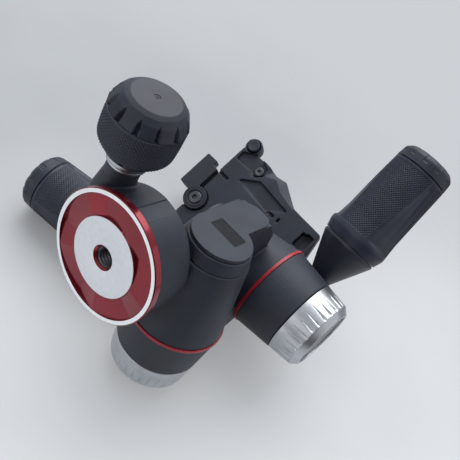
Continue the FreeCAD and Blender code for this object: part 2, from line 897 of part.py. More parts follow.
def lever(name, frame):
    root = at.socket_length + at.free_gap
    seam = root + at.lever_cone_length
    stud_start = at.stud_end_gap - at.socket_radius / 2
    stud = piece(f"{name}_lever_stud", frame)
    turn(stud, [
        (stud_start, 0),
        (stud_start, at.stud_radius),
        (seam - at.lever_seat, at.stud_radius),
        (seam - at.lever_seat, 0),
    ])
    cone = piece(f"{name}_lever_hub", frame)
    turn(cone, [
        (root, at.stud_radius),
        (root, at.lever_root_radius),
        (seam - at.lever_lip, at.lever_seam_radius - at.lever_lip_taper, at.lever_lip_round),
        (seam, at.lever_seam_radius - at.lever_lip_drop),
        (seam, at.tube_radius),
        (seam - at.lever_seat, at.tube_radius),
        (seam - at.lever_seat, at.stud_radius),
    ])
    tube_start = seam - at.lever_seat
    tube_end = tube_start + at.tube_length
    tube(f"{name}_lever_tube", frame, tube_start, tube_end,
         at.tube_radius - at.tube_wall, at.tube_radius)
    start = seam + at.free_gap
    end = tube_end + at.grip_over_tube
    bore = at.tube_radius + at.running_gap
    tube(f"{name}_grip_core", frame, start, end, bore, at.grip_core_radius)
    rubber = piece(f"{name}_grip_sleeve", frame)
    turn(rubber, [
        (start, at.grip_core_radius),
        (start, at.lever_seam_radius),
        (start + at.grip_bulge_place, at.grip_bulge_radius, at.grip_bulge_round),
        (start + at.grip_waist_place, at.grip_waist_radius, at.grip_waist_round),
        (end, at.grip_end_radius),
        (end, at.grip_core_radius),
    ])
    cap_end = end + at.grip_cap_length
    cap = piece(f"{name}_grip_cap", frame)
    turn(cap, [
        (end + at.grip_cap_gap, 0),
        (end + at.grip_cap_gap, at.grip_end_radius - at.grip_cap_step),
        (cap_end - at.grip_cap_bevel, at.grip_end_radius - at.grip_cap_taper,
         at.grip_cap_side_round),
        (cap_end, at.grip_cap_end_radius, at.grip_cap_edge_round),
        (cap_end + at.grip_cap_crown, 0),
    ])


# Elbow: carries the side tilt barrel over the front tilt barrel.

def elbow_casting():
    body = piece("elbow_casting")
    hub(body, FRONT_BARREL)
    sleeve(body, SIDE_BARREL)
    end_disc(body, FRONT_BARREL)
    cavity_top = at.front_axis_z + HUB_CAVITY + at.cavity_roof
    over_ring = at.front_axis_z + at.barrel_radius + at.ring_proud + at.arm_over_ring
    under_bore = at.side_axis_z - at.sleeve_bore - at.arm_past_bore
    outer = -at.front_ring_x - at.arm_left_outer
    inner = -at.front_ring_x - RING_HALF - at.free_gap
    slab(body, [
        (outer, cavity_top),
        (outer, at.front_axis_z + at.arm_left_shoulder, at.arm_left_round),
        (outer + at.arm_left_slant, under_bore),
        (-at.side_axis_x, under_bore),
        (inner, over_ring),
        (inner, cavity_top),
    ], at.arm_half_width * 2,
        chain(spot(y=at.front_axis_y + at.arm_half_width), FROM_FRONT))
    face = at.barrel_long + at.free_gap - at.front_ring_x
    outside = face + at.arm_thickness
    over_sleeve = at.front_axis_z + SLEEVE_SMALL
    meet = -at.side_axis_x + at.sleeve_bore
    slab(body, [
        (face, at.front_axis_z),
        (outside, at.front_axis_z),
        (outside, at.front_axis_z + at.cap_height - at.arm_below_cap, at.arm_round),
        (outside - at.arm_top_in, at.side_axis_z - at.arm_top_drop, at.arm_round),
        (meet + at.arm_meet_out, at.side_axis_z - at.arm_meet_drop),
        (meet + at.arm_root_out, at.side_axis_z - at.sleeve_bore),
        (face - at.arm_neck_in, over_sleeve + at.arm_neck_rise),
        (face, over_sleeve + at.arm_foot_rise),
    ], at.arm_front_edge + at.arm_rear_edge,
        chain(spot(y=at.front_axis_y + at.arm_front_edge), FROM_FRONT))
    socket(body, FRONT_LEVER)
    hub_bore(body, FRONT_BARREL)
    end_bore(body, FRONT_BARREL)
    sleeve_bore(body, SIDE_BARREL)
    socket_bore(body, FRONT_LEVER)


CAP_OUTLINE_FRAME = chain(spot(x=ARM_END - at.front_ring_x, y=at.front_axis_y,
                               z=at.front_axis_z), LOOKING_FORWARD)


def side_cap():
    """Cover of the elbow's arm, with a shallow bare field for a label."""
    body = piece("side_cap")
    cap_top = at.cap_height - at.cap_top_drop
    rod(body, at.cap_radius, at.cap_thickness, CAP_OUTLINE_FRAME)
    slab(body, [
        (-at.cap_radius, 0),
        (-at.arm_rear_edge, at.cap_shoulder, at.cap_shoulder_round),
        (at.cap_rear_slant - at.arm_rear_edge, cap_top, at.cap_top_round),
        (at.arm_front_edge - at.cap_front_slant, cap_top, at.cap_top_round),
        (at.arm_front_edge, at.cap_height - at.cap_front_drop, at.cap_front_round),
        (at.arm_front_edge, 0),
    ], at.cap_thickness, CAP_OUTLINE_FRAME)
    field = chain(spot(x=ARM_END - at.front_ring_x + at.cap_thickness - at.label_depth,
                       y=at.front_axis_y, z=at.front_axis_z), LOOKING_FORWARD)
    slab(body, label_outline(0), at.label_depth, field, cut=True)
    plate = piece("label_plate")
    slab(plate, label_outline(at.label_fit), at.label_depth / 2, field)


def label_outline(inset):
    left = inset - at.label_length / 2
    right = -left - at.label_aside
    left = left - at.label_aside
    low = at.label_low + inset
    high = at.label_width + at.label_low - inset
    return [(left, low), (right, low), (right, high), (left, high)]


# Platform: tilts sideways with the camera. Drawn in its own frame, whose
# origin lies on the side tilt axis and whose Z axis leaves the deck.

def deck_outline():
    corner = at.deck_corner_round
    return [
        (-at.deck_left, -at.deck_rear, corner),
        (at.deck_right, -at.deck_rear, corner),
        (at.deck_right, -at.deck_dent_start),
        (at.deck_right - at.deck_dent_depth, -at.deck_bulge_y * 2, at.deck_dent_round),
        (at.deck_right, -at.deck_bulge_y, at.deck_dent_round),
        (at.deck_nose_x + at.deck_neck_out, at.deck_neck_y, at.deck_neck_round),
        (at.deck_nose_x, at.deck_front - at.deck_nose_drop, at.deck_nose_round),
        (at.deck_nose_x - at.deck_nose_chamfer, at.deck_front, at.deck_nose_round),
        (-at.deck_left, at.deck_front, corner),
    ]


RECESS_FLOOR = DECK_TOP - at.recess_depth
CATCH_NOTCH = at.catch_hub_radius + at.free_gap


def recess_outline(gap):
    left = at.recess_centre_x - at.plate_width / 2 - gap
    right = at.recess_centre_x + at.plate_width / 2 + gap
    rear = -at.recess_centre_y - at.plate_length / 2 - gap
    front = at.plate_length / 2 - at.recess_centre_y + gap
    return [(left, rear), (right, rear), (right, front), (left, front)]


def platform_casting():
    body = piece("platform_casting", PLATFORM)
    hub(body, PLATFORM_BARREL)
    end_disc(body, PLATFORM_BARREL)
    slab(body, deck_outline(), DECK_TOP - DECK_BOTTOM, spot(z=DECK_BOTTOM))
    rod(body, at.lug_radius, DECK_TOP - DECK_BOTTOM,
        spot(at.button_x, -at.button_y, DECK_BOTTOM))
    hub_start = at.side_ring_y + RING_HALF
    hub_end = at.side_ring_y + at.barrel_short
    over_cavity = HUB_CAVITY + at.cavity_roof
    slab(body, [
        (hub_start, over_cavity),
        (hub_end - at.front_arm_in, over_cavity),
        (hub_end - at.front_arm_in, DECK_BOTTOM, at.front_arm_round),
        (hub_end - at.front_arm_top_in, DECK_TOP, at.front_arm_top_round),
        (at.deck_front - at.front_arm_lap, DECK_TOP),
        (at.deck_front - at.front_arm_lap, DECK_BOTTOM),
        (hub_start, DECK_BOTTOM),
    ], at.front_arm_left + at.front_arm_right,
        chain(spot(x=-at.front_arm_left), LOOKING_FORWARD))
    socket(body, PLATFORM_LEVER)
    rear_face = at.side_ring_y - ARM_END
    slab(body, [
        (rear_face, 0),
        (rear_face + at.arm_thickness, 0),
        (rear_face + at.arm_thickness, DECK_BOTTOM),
        (rear_face, DECK_BOTTOM),
    ], at.rear_arm_half_width * 2,
        chain(spot(x=-at.rear_arm_half_width), LOOKING_FORWARD))
    hub_bore(body, PLATFORM_BARREL)
    end_bore(body, PLATFORM_BARREL)
    socket_bore(body, PLATFORM_LEVER)
    slab(body, recess_outline(at.plate_gap), at.recess_depth, spot(z=RECESS_FLOOR), cut=True)
    underside(body)
    deck_holes(body)


def underside(body):
    """Shallow pockets that lighten the underside of the deck."""
    depth = at.underside_depth
    right = at.deck_right
    window_left = at.deck_nose_x - at.window_in
    window_rear = at.deck_front - at.window_from_front
    slab(body, [
        (right - at.pocket_rear_in, at.pocket_rear_y - at.deck_rear),
        (right - at.pocket_bend_in, at.pocket_bend_y - at.deck_rear),
        (right - at.pocket_front_in, at.deck_neck_y - at.pocket_front_y),
        (right - at.pocket_far_in, at.deck_neck_y - at.pocket_far_y),
    ], depth, spot(z=DECK_BOTTOM), cut=True)
    slab(body, [
        (window_left, window_rear),
        (window_left + at.window_length, window_rear),
        (window_left + at.window_length, window_rear + at.window_width),
        (window_left, window_rear + at.window_width),
    ], depth * 3, spot(z=DECK_BOTTOM), cut=True)


CATCH_LOW = DECK_BOTTOM - at.catch_drop
CATCH_TOP = CATCH_LOW + at.catch_hub_height
CATCH_PIVOT = (at.catch_pivot_x, -at.catch_pivot_y)
CATCH_WEB = CATCH_LOW + at.catch_screw_head_height


def deck_holes(body):
    notch = CATCH_TOP + at.free_gap - DECK_BOTTOM
    rod(body, CATCH_NOTCH, notch, spot(z=DECK_BOTTOM), True, [CATCH_PIVOT])
    rear = -at.deck_rear
    slab(body, [
        (at.catch_pivot_x - CATCH_NOTCH, rear - at.lug_radius),
        (at.deck_right - at.catch_arm_length, rear - at.lug_radius),
        (at.deck_right - at.catch_arm_length, rear + at.catch_slot_in),
        (at.catch_pivot_x + at.catch_slot_start, rear + at.catch_slot_in),
        CATCH_PIVOT,
        (at.catch_pivot_x - CATCH_NOTCH, -at.catch_pivot_y),
    ], notch, spot(z=DECK_BOTTOM), cut=True)
    rod(body, at.catch_screw_radius, DECK_TOP - at.deck_skin - DECK_BOTTOM,
        spot(z=DECK_BOTTOM), True, [CATCH_PIVOT])
    rod(body, at.button_radius + at.free_gap, at.button_length - at.button_proud + at.button_room,
        spot(z=DECK_BOTTOM), True, [(at.button_x, -at.button_y)])
    rod(body, at.jaw_screw_radius + at.free_gap, at.underside_depth, spot(z=DECK_BOTTOM), True,
        [(at.jaw_screw_x, -at.jaw_screw_y)])
    rod(body, at.level_radius, at.level_depth, spot(z=DECK_TOP - at.level_depth), True,
        [(at.level_x, at.level_y)])


def platform_fittings():
    half = at.rear_arm_half_width - at.rear_cap_inset
    cap = piece("rear_cap", PLATFORM)
    behind = chain(spot(y=at.side_ring_y - ARM_END), FROM_FRONT)
    rod(cap, at.cap_radius, at.cap_thickness, behind)
    slab(cap, [
        (-half, 0),
        (half, 0),
        (half, DECK_BOTTOM - at.rear_cap_inset, at.rear_cap_round),
        (-half, DECK_BOTTOM - at.rear_cap_inset, at.rear_cap_round),
    ], at.cap_thickness, behind)
    jaw = piece("jaw_screw", PLATFORM)
    rod(jaw, at.jaw_screw_radius, at.underside_depth - at.jaw_screw_sink,
        spot(z=DECK_BOTTOM + at.jaw_screw_sink), False,
        [(at.jaw_screw_x, -at.jaw_screw_y)])
    vial = piece("level_vial", PLATFORM)
    rod(vial, at.level_radius, at.level_depth, spot(z=DECK_TOP - at.level_depth), False,
        [(at.level_x, at.level_y)])
    screw = piece("catch_screw", PLATFORM)
    rod(screw, at.catch_screw_head, at.catch_screw_head_height, spot(z=CATCH_LOW), False,
        [CATCH_PIVOT])
    rod(screw, at.catch_screw_radius, DECK_TOP - at.deck_skin - CATCH_WEB,
        spot(z=CATCH_WEB), False, [CATCH_PIVOT])


def catch_lever():
    """Lever that locks the camera plate, turning on its screw below the deck."""
    body = piece("catch_lever", PLATFORM)
    rod(body, at.catch_hub_radius, at.catch_hub_height, spot(z=CATCH_LOW), False, [CATCH_PIVOT])
    tab_end = at.catch_pivot_x + at.catch_arm_length
    tab_rear = -at.catch_pivot_y - at.catch_tab_rear
    tab_front = -at.deck_rear - at.free_gap * 2
    neck_front = tab_front - at.catch_neck_drop
    slab(body, [
        (at.catch_pivot_x + at.catch_tab_start, tab_rear, at.catch_tab_round),
        (tab_end, tab_rear, at.catch_tab_round),
        (tab_end, tab_rear + at.catch_arm_depth),
        (tab_end - at.catch_tab_step, tab_rear + at.catch_arm_depth),
        (tab_end - at.catch_tab_step, tab_front),
        (at.catch_pivot_x + at.catch_neck_start, tab_front),
        (at.catch_pivot_x + at.catch_neck_root, neck_front),
    ], at.catch_arm_height, spot(z=CATCH_LOW))
    slab(body, [
        (at.catch_pivot_x - at.catch_hub_radius + at.catch_web_edge, -at.catch_pivot_y),
        (at.catch_pivot_x - at.catch_web_left, neck_front),
        (at.catch_pivot_x + at.catch_web_right, neck_front),
        (at.catch_pivot_x + at.catch_web_right, tab_front),
        (at.catch_pivot_x + at.catch_hub_radius - at.catch_web_front, tab_front),
        CATCH_PIVOT,
    ], at.catch_hub_height, spot(z=CATCH_LOW))
    rod(body, at.catch_screw_head + at.running_gap, at.catch_screw_head_height,
        spot(z=CATCH_LOW), True, [CATCH_PIVOT])
    rod(body, at.catch_screw_radius + at.running_gap, at.catch_hub_height,
        spot(z=CATCH_LOW), True, [CATCH_PIVOT])


def safety_button():
    body = piece("safety_button", PLATFORM)
    rod(body, at.button_radius, at.button_length, spot(z=DECK_BOTTOM - at.button_proud),
        False, [(at.button_x, -at.button_y)])


# Camera plate, lifted out of the recess, with its pads and camera screw.

def camera_plate():
    body = piece("camera_plate", PLATFORM)
    floor = RECESS_FLOOR + at.plate_seat_gap
    top = floor + at.plate_thickness
    left = at.recess_centre_x - at.plate_width / 2
    right = at.recess_centre_x + at.plate_width / 2
    slab(body, [
        (left, floor),
        (right, floor),
        (right, top - at.plate_bevel),
        (right - at.plate_bevel, top),
        (left + at.plate_bevel, top),
        (left, top - at.plate_bevel),
    ], at.plate_length, chain(spot(y=at.plate_length / 2 - at.recess_centre_y), FROM_FRONT))
    middle = (at.recess_centre_x, -at.recess_centre_y)
    rod(body, at.camera_screw_head + at.free_gap, at.camera_screw_head_height + at.free_gap,
        spot(z=floor), True, [middle])
    rod(body, at.camera_screw_radius + at.running_gap, at.plate_thickness,
        spot(z=floor), True, [middle])
    pads = piece("plate_pads", PLATFORM)
    reach = at.plate_width / 2 - at.pad_width
    half_length = at.plate_length / 2 - at.pad_margin
    for side in (-reach, reach - at.pad_width):
        left = at.recess_centre_x + side
        slab(pads, [
            (left, -half_length - at.recess_centre_y),
            (left + at.pad_width, -half_length - at.recess_centre_y),
            (left + at.pad_width, half_length - at.recess_centre_y),
            (left, half_length - at.recess_centre_y),
        ], at.pad_height, spot(z=floor + at.plate_thickness))
    screw = piece("camera_screw", PLATFORM)
    head = floor + at.free_gap
    tip = top + at.camera_screw_height
    chamfer = at.camera_screw_radius - at.camera_shank_radius
    turn(screw, [
        (head, 0),
        (head, at.camera_screw_head),
        (head + at.camera_screw_head_height, at.camera_screw_head),
        (head + at.camera_screw_head_height, at.camera_shank_radius),
        (top, at.camera_shank_radius),
        (top, at.camera_screw_radius),
        (tip - chamfer, at.camera_screw_radius),
        (tip, at.camera_shank_radius),
        (tip, 0),
    ], chain(spot(at.recess_centre_x, -at.recess_centre_y), UPRIGHT))


def finish():
    doc.recompute()
    for item in doc.Objects:
        if "Invalid" in item.State or "Error" in item.State:
            raise RuntimeError(f"{item.Label} ({item.Name}) is {item.State}")
    os.makedirs("parts", exist_ok=True)
    bodies = [item for item in doc.Objects if item.TypeId == "PartDesign::Body"]
    for item in bodies:
        if item.Shape.isNull() or not item.Shape.isValid():
            raise RuntimeError(f"{item.Label} has no valid shape")
    for item in bodies:
        item.Shape.exportStep(f"parts/{item.Label}.step")
        print(item.Label, len(item.Shape.Solids), round(item.Shape.Volume))


base_disc()
pan_spindle()
pan_retainer()
retainer_screws()
pan_housing()
pan_fittings()
pan_knob()
barrel_fittings("front", FRONT_BARREL, FRONT_BARREL)
elbow_casting()
side_cap()
lever("front", FRONT_LEVER)
barrel_fittings("side", SIDE_BARREL, chain(PLATFORM, PLATFORM_BARREL))
platform_casting()
platform_fittings()
catch_lever()
safety_button()
camera_plate()
lever("side", chain(PLATFORM, PLATFORM_LEVER))
finish()
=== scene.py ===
import math
import bmesh
import bpy
from mathutils import Matrix, Vector


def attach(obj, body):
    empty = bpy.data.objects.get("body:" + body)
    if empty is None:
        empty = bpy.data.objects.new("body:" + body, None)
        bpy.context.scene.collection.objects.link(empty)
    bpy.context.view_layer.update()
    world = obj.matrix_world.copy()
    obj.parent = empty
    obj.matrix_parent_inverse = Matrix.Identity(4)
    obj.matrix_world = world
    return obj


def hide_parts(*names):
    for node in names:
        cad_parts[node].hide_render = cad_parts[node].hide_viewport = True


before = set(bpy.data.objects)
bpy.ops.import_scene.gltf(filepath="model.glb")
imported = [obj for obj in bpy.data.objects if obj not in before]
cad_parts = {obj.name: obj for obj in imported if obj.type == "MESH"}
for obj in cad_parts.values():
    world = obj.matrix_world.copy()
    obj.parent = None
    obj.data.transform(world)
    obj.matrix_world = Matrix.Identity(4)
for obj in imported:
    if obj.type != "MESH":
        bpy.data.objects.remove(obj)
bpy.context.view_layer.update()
scene = bpy.context.scene
mm = 0.001


# --- places, the same chain of turns as the metal parts stand in ---

def place(x=0, y=0, z=0, yaw=0, pitch=0, roll=0):
    turns = Matrix.Rotation(math.radians(yaw), 4, "Z")
    turns = turns @ Matrix.Rotation(math.radians(pitch), 4, "Y")
    turns = turns @ Matrix.Rotation(math.radians(roll), 4, "X")
    return Matrix.Translation((x * mm, y * mm, z * mm)) @ turns


upright = place(pitch=-90)
frontBarrel = place(-31.65, 22.5, 43.2, yaw=180)
platform = place(-22.8, 0, 97.4, pitch=-42)
platformBarrel = platform @ place(0, 38.5, 0, yaw=90)
frontLever = place(-43.85, 22.5, 43.2, yaw=-90) @ place(pitch=12.5) @ place(z=26)
sideLever = platform @ place(0, 50.7, 0) @ place(pitch=12.5) @ place(z=26)
panKnob = place(0, 0, 16, yaw=5) @ place(0, -21.5, 0, pitch=5)


# --- small mesh helpers ---

def roundCorners(outline, arcSteps=5):
    # (along, radius) or (along, radius, rounding) in mm, to plain points
    points = []
    for i, corner in enumerate(outline):
        here = Vector(corner[:2])
        if len(corner) < 3:
            points.append(here)
            continue
        before = (Vector(outline[i - 1][:2]) - here).normalized()
        after = (Vector(outline[(i + 1) % len(outline)][:2]) - here).normalized()
        half = before.angle(after) / 2
        middle = here + (before + after).normalized() * corner[2] / math.sin(half)
        start = here + before * corner[2] / math.tan(half) - middle
        end = here + after * corner[2] / math.tan(half) - middle
        sweep = start.angle_signed(end)
        for k in range(arcSteps + 1):
            turned = Matrix.Rotation(-sweep * k / arcSteps, 2) @ start
            points.append(middle + turned)
    return points


def fineSteps(points, step, inner=0):
    # adds points along straight runs that are longer than step, but not on bores up to inner
    fine = [points[0]]
    for before, after in zip(points, points[1:]):
        hidden = max(before.y, after.y) <= inner
        count = 1 if hidden else max(1, round((after - before).length / step))
        fine += [before.lerp(after, k / count) for k in range(1, count + 1)]
    return fine


def lathe(outline, steps=96, fine=None, closed=False, inner=0):
    # full turn of an outline in mm about the X axis, from a flat grid rolled up and merged
    points = roundCorners(outline)
    if closed:
        points.append(points[0])
    if fine:
        points = fineSteps(points, fine, inner)
    rows = len(points) - 1
    bm = bmesh.new()
    bmesh.ops.create_grid(bm, x_segments=rows, y_segments=steps, size=1.0)
    for vert in bm.verts:
        point = points[round((vert.co.x + 1) / 2 * rows)] * mm
        angle = math.tau * round((vert.co.y + 1) / 2 * steps) / steps
        vert.co = (point.x, point.y * math.cos(angle), point.y * math.sin(angle))
    bmesh.ops.remove_doubles(bm, verts=bm.verts, dist=1e-7)
    bmesh.ops.recalc_face_normals(bm, faces=bm.faces)
    return bm


def prism(outline, low, high):
    # upright block from (x, y) points in mm
    bm = bmesh.new()
    floor = bm.faces.new([bm.verts.new((x * mm, y * mm, low * mm)) for x, y in outline])
    walls = bmesh.ops.extrude_face_region(bm, geom=[floor])
    top = [item for item in walls["geom"] if isinstance(item, bmesh.types.BMVert)]
    bmesh.ops.translate(bm, verts=top, vec=(0, 0, (high - low) * mm))
    bmesh.ops.recalc_face_normals(bm, faces=bm.faces)
    return bm


def polar(vert):
    # along the X axis, radius and angle in degrees; lengths in mm
    return vert.co.x / mm, math.hypot(vert.co.y, vert.co.z) / mm, \
        math.degrees(math.atan2(vert.co.z, vert.co.y))


def setRadius(vert, radius):
    old = math.hypot(vert.co.y, vert.co.z)
    if old > 0:
        vert.co.y *= radius * mm / old
        vert.co.z *= radius * mm / old


def angleFrom(angle, centre):
    return (angle - centre + 180) % 360 - 180


def ease(value):
    value = min(1.0, max(0.0, value))
    return value * value * (3 - 2 * value)


def meshObject(bm, name, sharp):
    mesh = bpy.data.meshes.new(name)
    bm.to_mesh(mesh)
    bm.free()
    mesh.polygons.foreach_set("use_smooth", [True] * len(mesh.polygons))
    mesh.set_sharp_from_angle(angle=math.radians(sharp))
    piece = bpy.data.objects.new(name, mesh)
    scene.collection.objects.link(piece)
    return piece


def addPiece(bm, name, spot, material, body, nodes=(), sharp=35):
    bmesh.ops.transform(bm, matrix=spot, verts=bm.verts)
    piece = meshObject(bm, name, sharp)
    piece.data.materials.append(material)
    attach(piece, body)
    if nodes:
        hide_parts(*nodes)
    return piece


# cell is the size in mm that a casting is skinned again in, and passes how often it is smoothed
castLook = {
    "mostTriangles": 170000, "smoothing": 0.5,
    "cell": 0.42, "passes": 3, "platePasses": 2, "fineCell": 0.3, "coverPasses": 4,
}


def solvedMesh(rough):
    # the mesh as its modifiers leave it
    solved = rough.evaluated_get(bpy.context.evaluated_depsgraph_get())
    return bpy.data.meshes.new_from_object(solved)


def casting(node, name, material, body, voxel, passes, cuts=(), shape=None):
    # a cast shape from a part's solid: cut, skinned again in small cells and smoothed at its corners
    bm = bmesh.new()
    bm.from_mesh(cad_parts[node].data)
    bmesh.ops.remove_doubles(bm, verts=bm.verts, dist=1e-6)
    rough = meshObject(bm, name + "Rough", 30)
    tools = [rough]
    for i, cut in enumerate(cuts):
        tool = meshObject(cut, f"{name}Cut{i}", 30)
        tools.append(tool)
        step = rough.modifiers.new("cut", "BOOLEAN")
        step.object = tool
        step.operation = "DIFFERENCE"
        step.solver = "EXACT"
    skin = rough.modifiers.new("skin", "REMESH")
    skin.mode = "VOXEL"
    skin.voxel_size = voxel * mm
    soften = rough.modifiers.new("soften", "SMOOTH")
    soften.factor = castLook["smoothing"]
    soften.iterations = passes
    cast = solvedMesh(rough)
    bm = bmesh.new()
    bm.from_mesh(cast)
    for tool in tools:
        bpy.data.objects.remove(tool)
    if shape:
        shape(bm)
    dense = meshObject(bm, name + "Dense", 60)
    thin = dense.modifiers.new("thin", "DECIMATE")
    thin.ratio = min(1.0, castLook["mostTriangles"] / (2 * len(dense.data.polygons)))
    bm = bmesh.new()
    bm.from_mesh(solvedMesh(dense))
    bpy.data.objects.remove(dense)
    piece = addPiece(bm, name, Matrix.Identity(4), material, body, [node], sharp=50)
    print("cast", name, len(piece.data.polygons), "faces")


# --- materials ---

def colour(code):
    values = [int(code[i:i + 2], 16) / 255 for i in (1, 3, 5)]
    linear = [v / 12.92 if v <= 0.04045 else ((v + 0.055) / 1.055) ** 2.4 for v in values]
    return (*linear, 1.0)


def addNode(tree, kind, settings=None, links=None):
    node = tree.nodes.new(kind)
    for key, value in (settings or {}).items():
        if isinstance(key, int) or key in node.inputs:
            node.inputs[key].default_value = value
        else:
            setattr(node, key, value)
    for key, source in (links or {}).items():
        tree.links.new(source, node.inputs[key])
    return node


def startMaterial(name):
    material = bpy.data.materials.new(name)
    material.use_nodes = True
    tree = material.node_tree
    tree.nodes.clear()
    here = addNode(tree, "ShaderNodeTexCoord").outputs["Object"]
    return material, tree, here


def patches(tree, coordinates, size, low, high, detail=3.0):
    # slow change between two colours over patches of a size in mm
    cloud = addNode(tree, "ShaderNodeTexNoise", {"Scale": 1 / (size * mm), "Detail": detail},
                    {"Vector": coordinates})
    ramp = addNode(tree, "ShaderNodeValToRGB", None, {"Fac": cloud.outputs["Fac"]})
    ramp.color_ramp.elements[0].position = 0.35
    ramp.color_ramp.elements[0].color = colour(low)
    ramp.color_ramp.elements[1].position = 0.65
    ramp.color_ramp.elements[1].color = colour(high)
    return ramp.outputs["Color"]


def grain(tree, coordinates, size, depth, detail=2.0):
    # bump of a grain size and depth in mm
    cloud = addNode(tree, "ShaderNodeTexNoise", {"Scale": 1 / (size * mm), "Detail": detail},
                    {"Vector": coordinates})
    bump = addNode(tree, "ShaderNodeBump", {"Distance": depth * mm, "Strength": 1.0},
                   {"Height": cloud.outputs["Fac"]})
    return bump.outputs["Normal"]


def finishMaterial(material, tree, settings, links):
    shader = addNode(tree, "ShaderNodeBsdfPrincipled", settings, links)
    addNode(tree, "ShaderNodeOutputMaterial", None, {"Surface": shader.outputs["BSDF"]})
    return material


def paintedCornerShade(tree, base):
    # painted shade: the coat's colour is darkened in deep corners and recesses, where less light
    # reaches
    shade = addNode(tree, "ShaderNodeAmbientOcclusion", {"samples": 8, "Distance": 7 * mm})
    share = addNode(tree, "ShaderNodeMapRange",
                    {"From Min": 0.2, "From Max": 0.8, "To Min": 0.6, "To Max": 1.0},
                    {"Value": shade.outputs["AO"]})
    deep = addNode(tree, "ShaderNodeMix",
                   {"data_type": "RGBA", "blend_type": "MULTIPLY", 0: 1.0},
                   {6: base, 7: share.outputs["Result"]})
    return deep.outputs[2]


def makeCastBlack():
    # die-cast alloy under black powder coat: satin, finely pebbled, a little lighter along its
    # edges, as wear and as a painted edge highlight
    material, tree, here = startMaterial("powderCoatedCasting")
    base = patches(tree, here, 14, "#242933", "#2C323E")
    # real grain is about 0.2 mm, drawn at 0.8 mm so that it shows
    normal = grain(tree, here, 0.8, 0.07)
    # lighter along rounded edges: some wear and a painted highlight where the edges catch the light
    rounded = addNode(tree, "ShaderNodeBevel", {"samples": 6, "Radius": 0.5 * mm})
    straight = addNode(tree, "ShaderNodeNewGeometry")
    turn = addNode(tree, "ShaderNodeVectorMath", {"operation": "DOT_PRODUCT"},
                   {0: rounded.outputs["Normal"], 1: straight.outputs["Normal"]})
    edgeWearAndHighlight = addNode(tree, "ShaderNodeMapRange",
                   {"From Min": 0.99, "From Max": 0.9, "To Max": 0.55},
                   {"Value": turn.outputs["Value"]})
    # colour of the lighter edges: wear and painted edge highlight
    edgeWearAndHighlightColour = addNode(tree, "ShaderNodeMix", {"data_type": "RGBA", 7: colour("#4A505C")},
                   {0: edgeWearAndHighlight.outputs["Result"], 6: base})
    # painted shade: the base colour is darkened in deep corners
    return finishMaterial(material, tree, {"Roughness": 0.54, "Specular IOR Level": 0.45},
                          {"Base Color": paintedCornerShade(tree, edgeWearAndHighlightColour.outputs[2]), "Normal": normal})


def makeMouldedBlack():
    # moulded ABS: even charcoal with a very fine satin grain
    material, tree, here = startMaterial("mouldedCharcoalPlastic")
    base = patches(tree, here, 9, "#232832", "#2B313C")
    normal = grain(tree, here, 0.6, 0.02)
    return finishMaterial(material, tree, {"Roughness": 0.48, "IOR": 1.45},
                          {"Base Color": base, "Normal": normal})


def makeCoverGrey():
    # thin moulded cover, spark eroded to a silky finish: lighter grey, mirrors the window softly
    material, tree, here = startMaterial("silkyGreyCoverPlastic")
    base = patches(tree, here, 12, "#282D37", "#30353F")
    normal = grain(tree, here, 0.6, 0.01)
    return finishMaterial(material, tree, {"Roughness": 0.5, "Specular IOR Level": 0.36},
                          {"Base Color": base, "Normal": normal})


def makeLabelBlack():
    # bare foil label, screen printed matt black: the darkest flat on the thing
    material, tree, here = startMaterial("mattBlackLabelFoil")
    base = patches(tree, here, 5, "#14171C", "#1A1D23")
    normal = grain(tree, here, 0.6, 0.004)
    return finishMaterial(material, tree, {"Roughness": 0.6, "Specular IOR Level": 0.2},
                          {"Base Color": base, "Normal": normal})


def makeGlossBlack():
    # glass-filled nylon, tooled smooth: darker and a little glossier than the covers
    material, tree, here = startMaterial("smoothBlackNylon")
    base = patches(tree, here, 16, "#1F242E", "#272C37")
    normal = grain(tree, here, 1.2, 0.012)
    # painted shade: the base colour is darkened in deep corners
    return finishMaterial(material, tree, {"Roughness": 0.4, "IOR": 1.52},
                          {"Base Color": paintedCornerShade(tree, base), "Normal": normal})


def makeRubber():
    # moulded soft-touch rubber: dull charcoal, greyer where hands polish it
    material, tree, here = startMaterial("softTouchRubber")
    base = patches(tree, here, 11, "#1E2433", "#282E3F")
    normal = grain(tree, here, 0.5, 0.02)
    return finishMaterial(material, tree, {"Roughness": 0.45, "IOR": 1.5},
                          {"Base Color": base, "Normal": normal})


def makeRedAnodised():
    # aluminium anodised deep red under clear lacquer: mirror-like flats, dark in the shade
    material, tree, here = startMaterial("redAnodisedAluminium")
    base = patches(tree, here, 25, "#7E1626", "#8C1A2A")
    return finishMaterial(material, tree,
                          {"Metallic": 0.7, "Roughness": 0.27, "Coat Weight": 0.4,
                           "Coat Roughness": 0.05}, {"Base Color": base})


def makeTrimRed():
    # enamelled ring: flat signal red with a soft gloss
    material, tree, here = startMaterial("redEnamelTrim")
    base = patches(tree, here, 8, "#9C1A26", "#A8202C")
    normal = grain(tree, here, 1.0, 0.01)
    return finishMaterial(material, tree, {"Roughness": 0.35, "IOR": 1.5},
                          {"Base Color": base, "Normal": normal})


def makeMetal(name, low, high, roughness, size, depth, patch=6):
    material, tree, here = startMaterial(name)
    base = patches(tree, here, patch, low, high)
    normal = grain(tree, here, size, depth)
    return finishMaterial(material, tree, {"Metallic": 1.0, "Roughness": roughness},
                          {"Base Color": base, "Normal": normal})


castBlack = makeCastBlack()
mouldedBlack = makeMouldedBlack()
coverGrey = makeCoverGrey()
labelBlack = makeLabelBlack()
glossBlack = makeGlossBlack()
rubber = makeRubber()
redAnodised = makeRedAnodised()
trimRed = makeTrimRed()
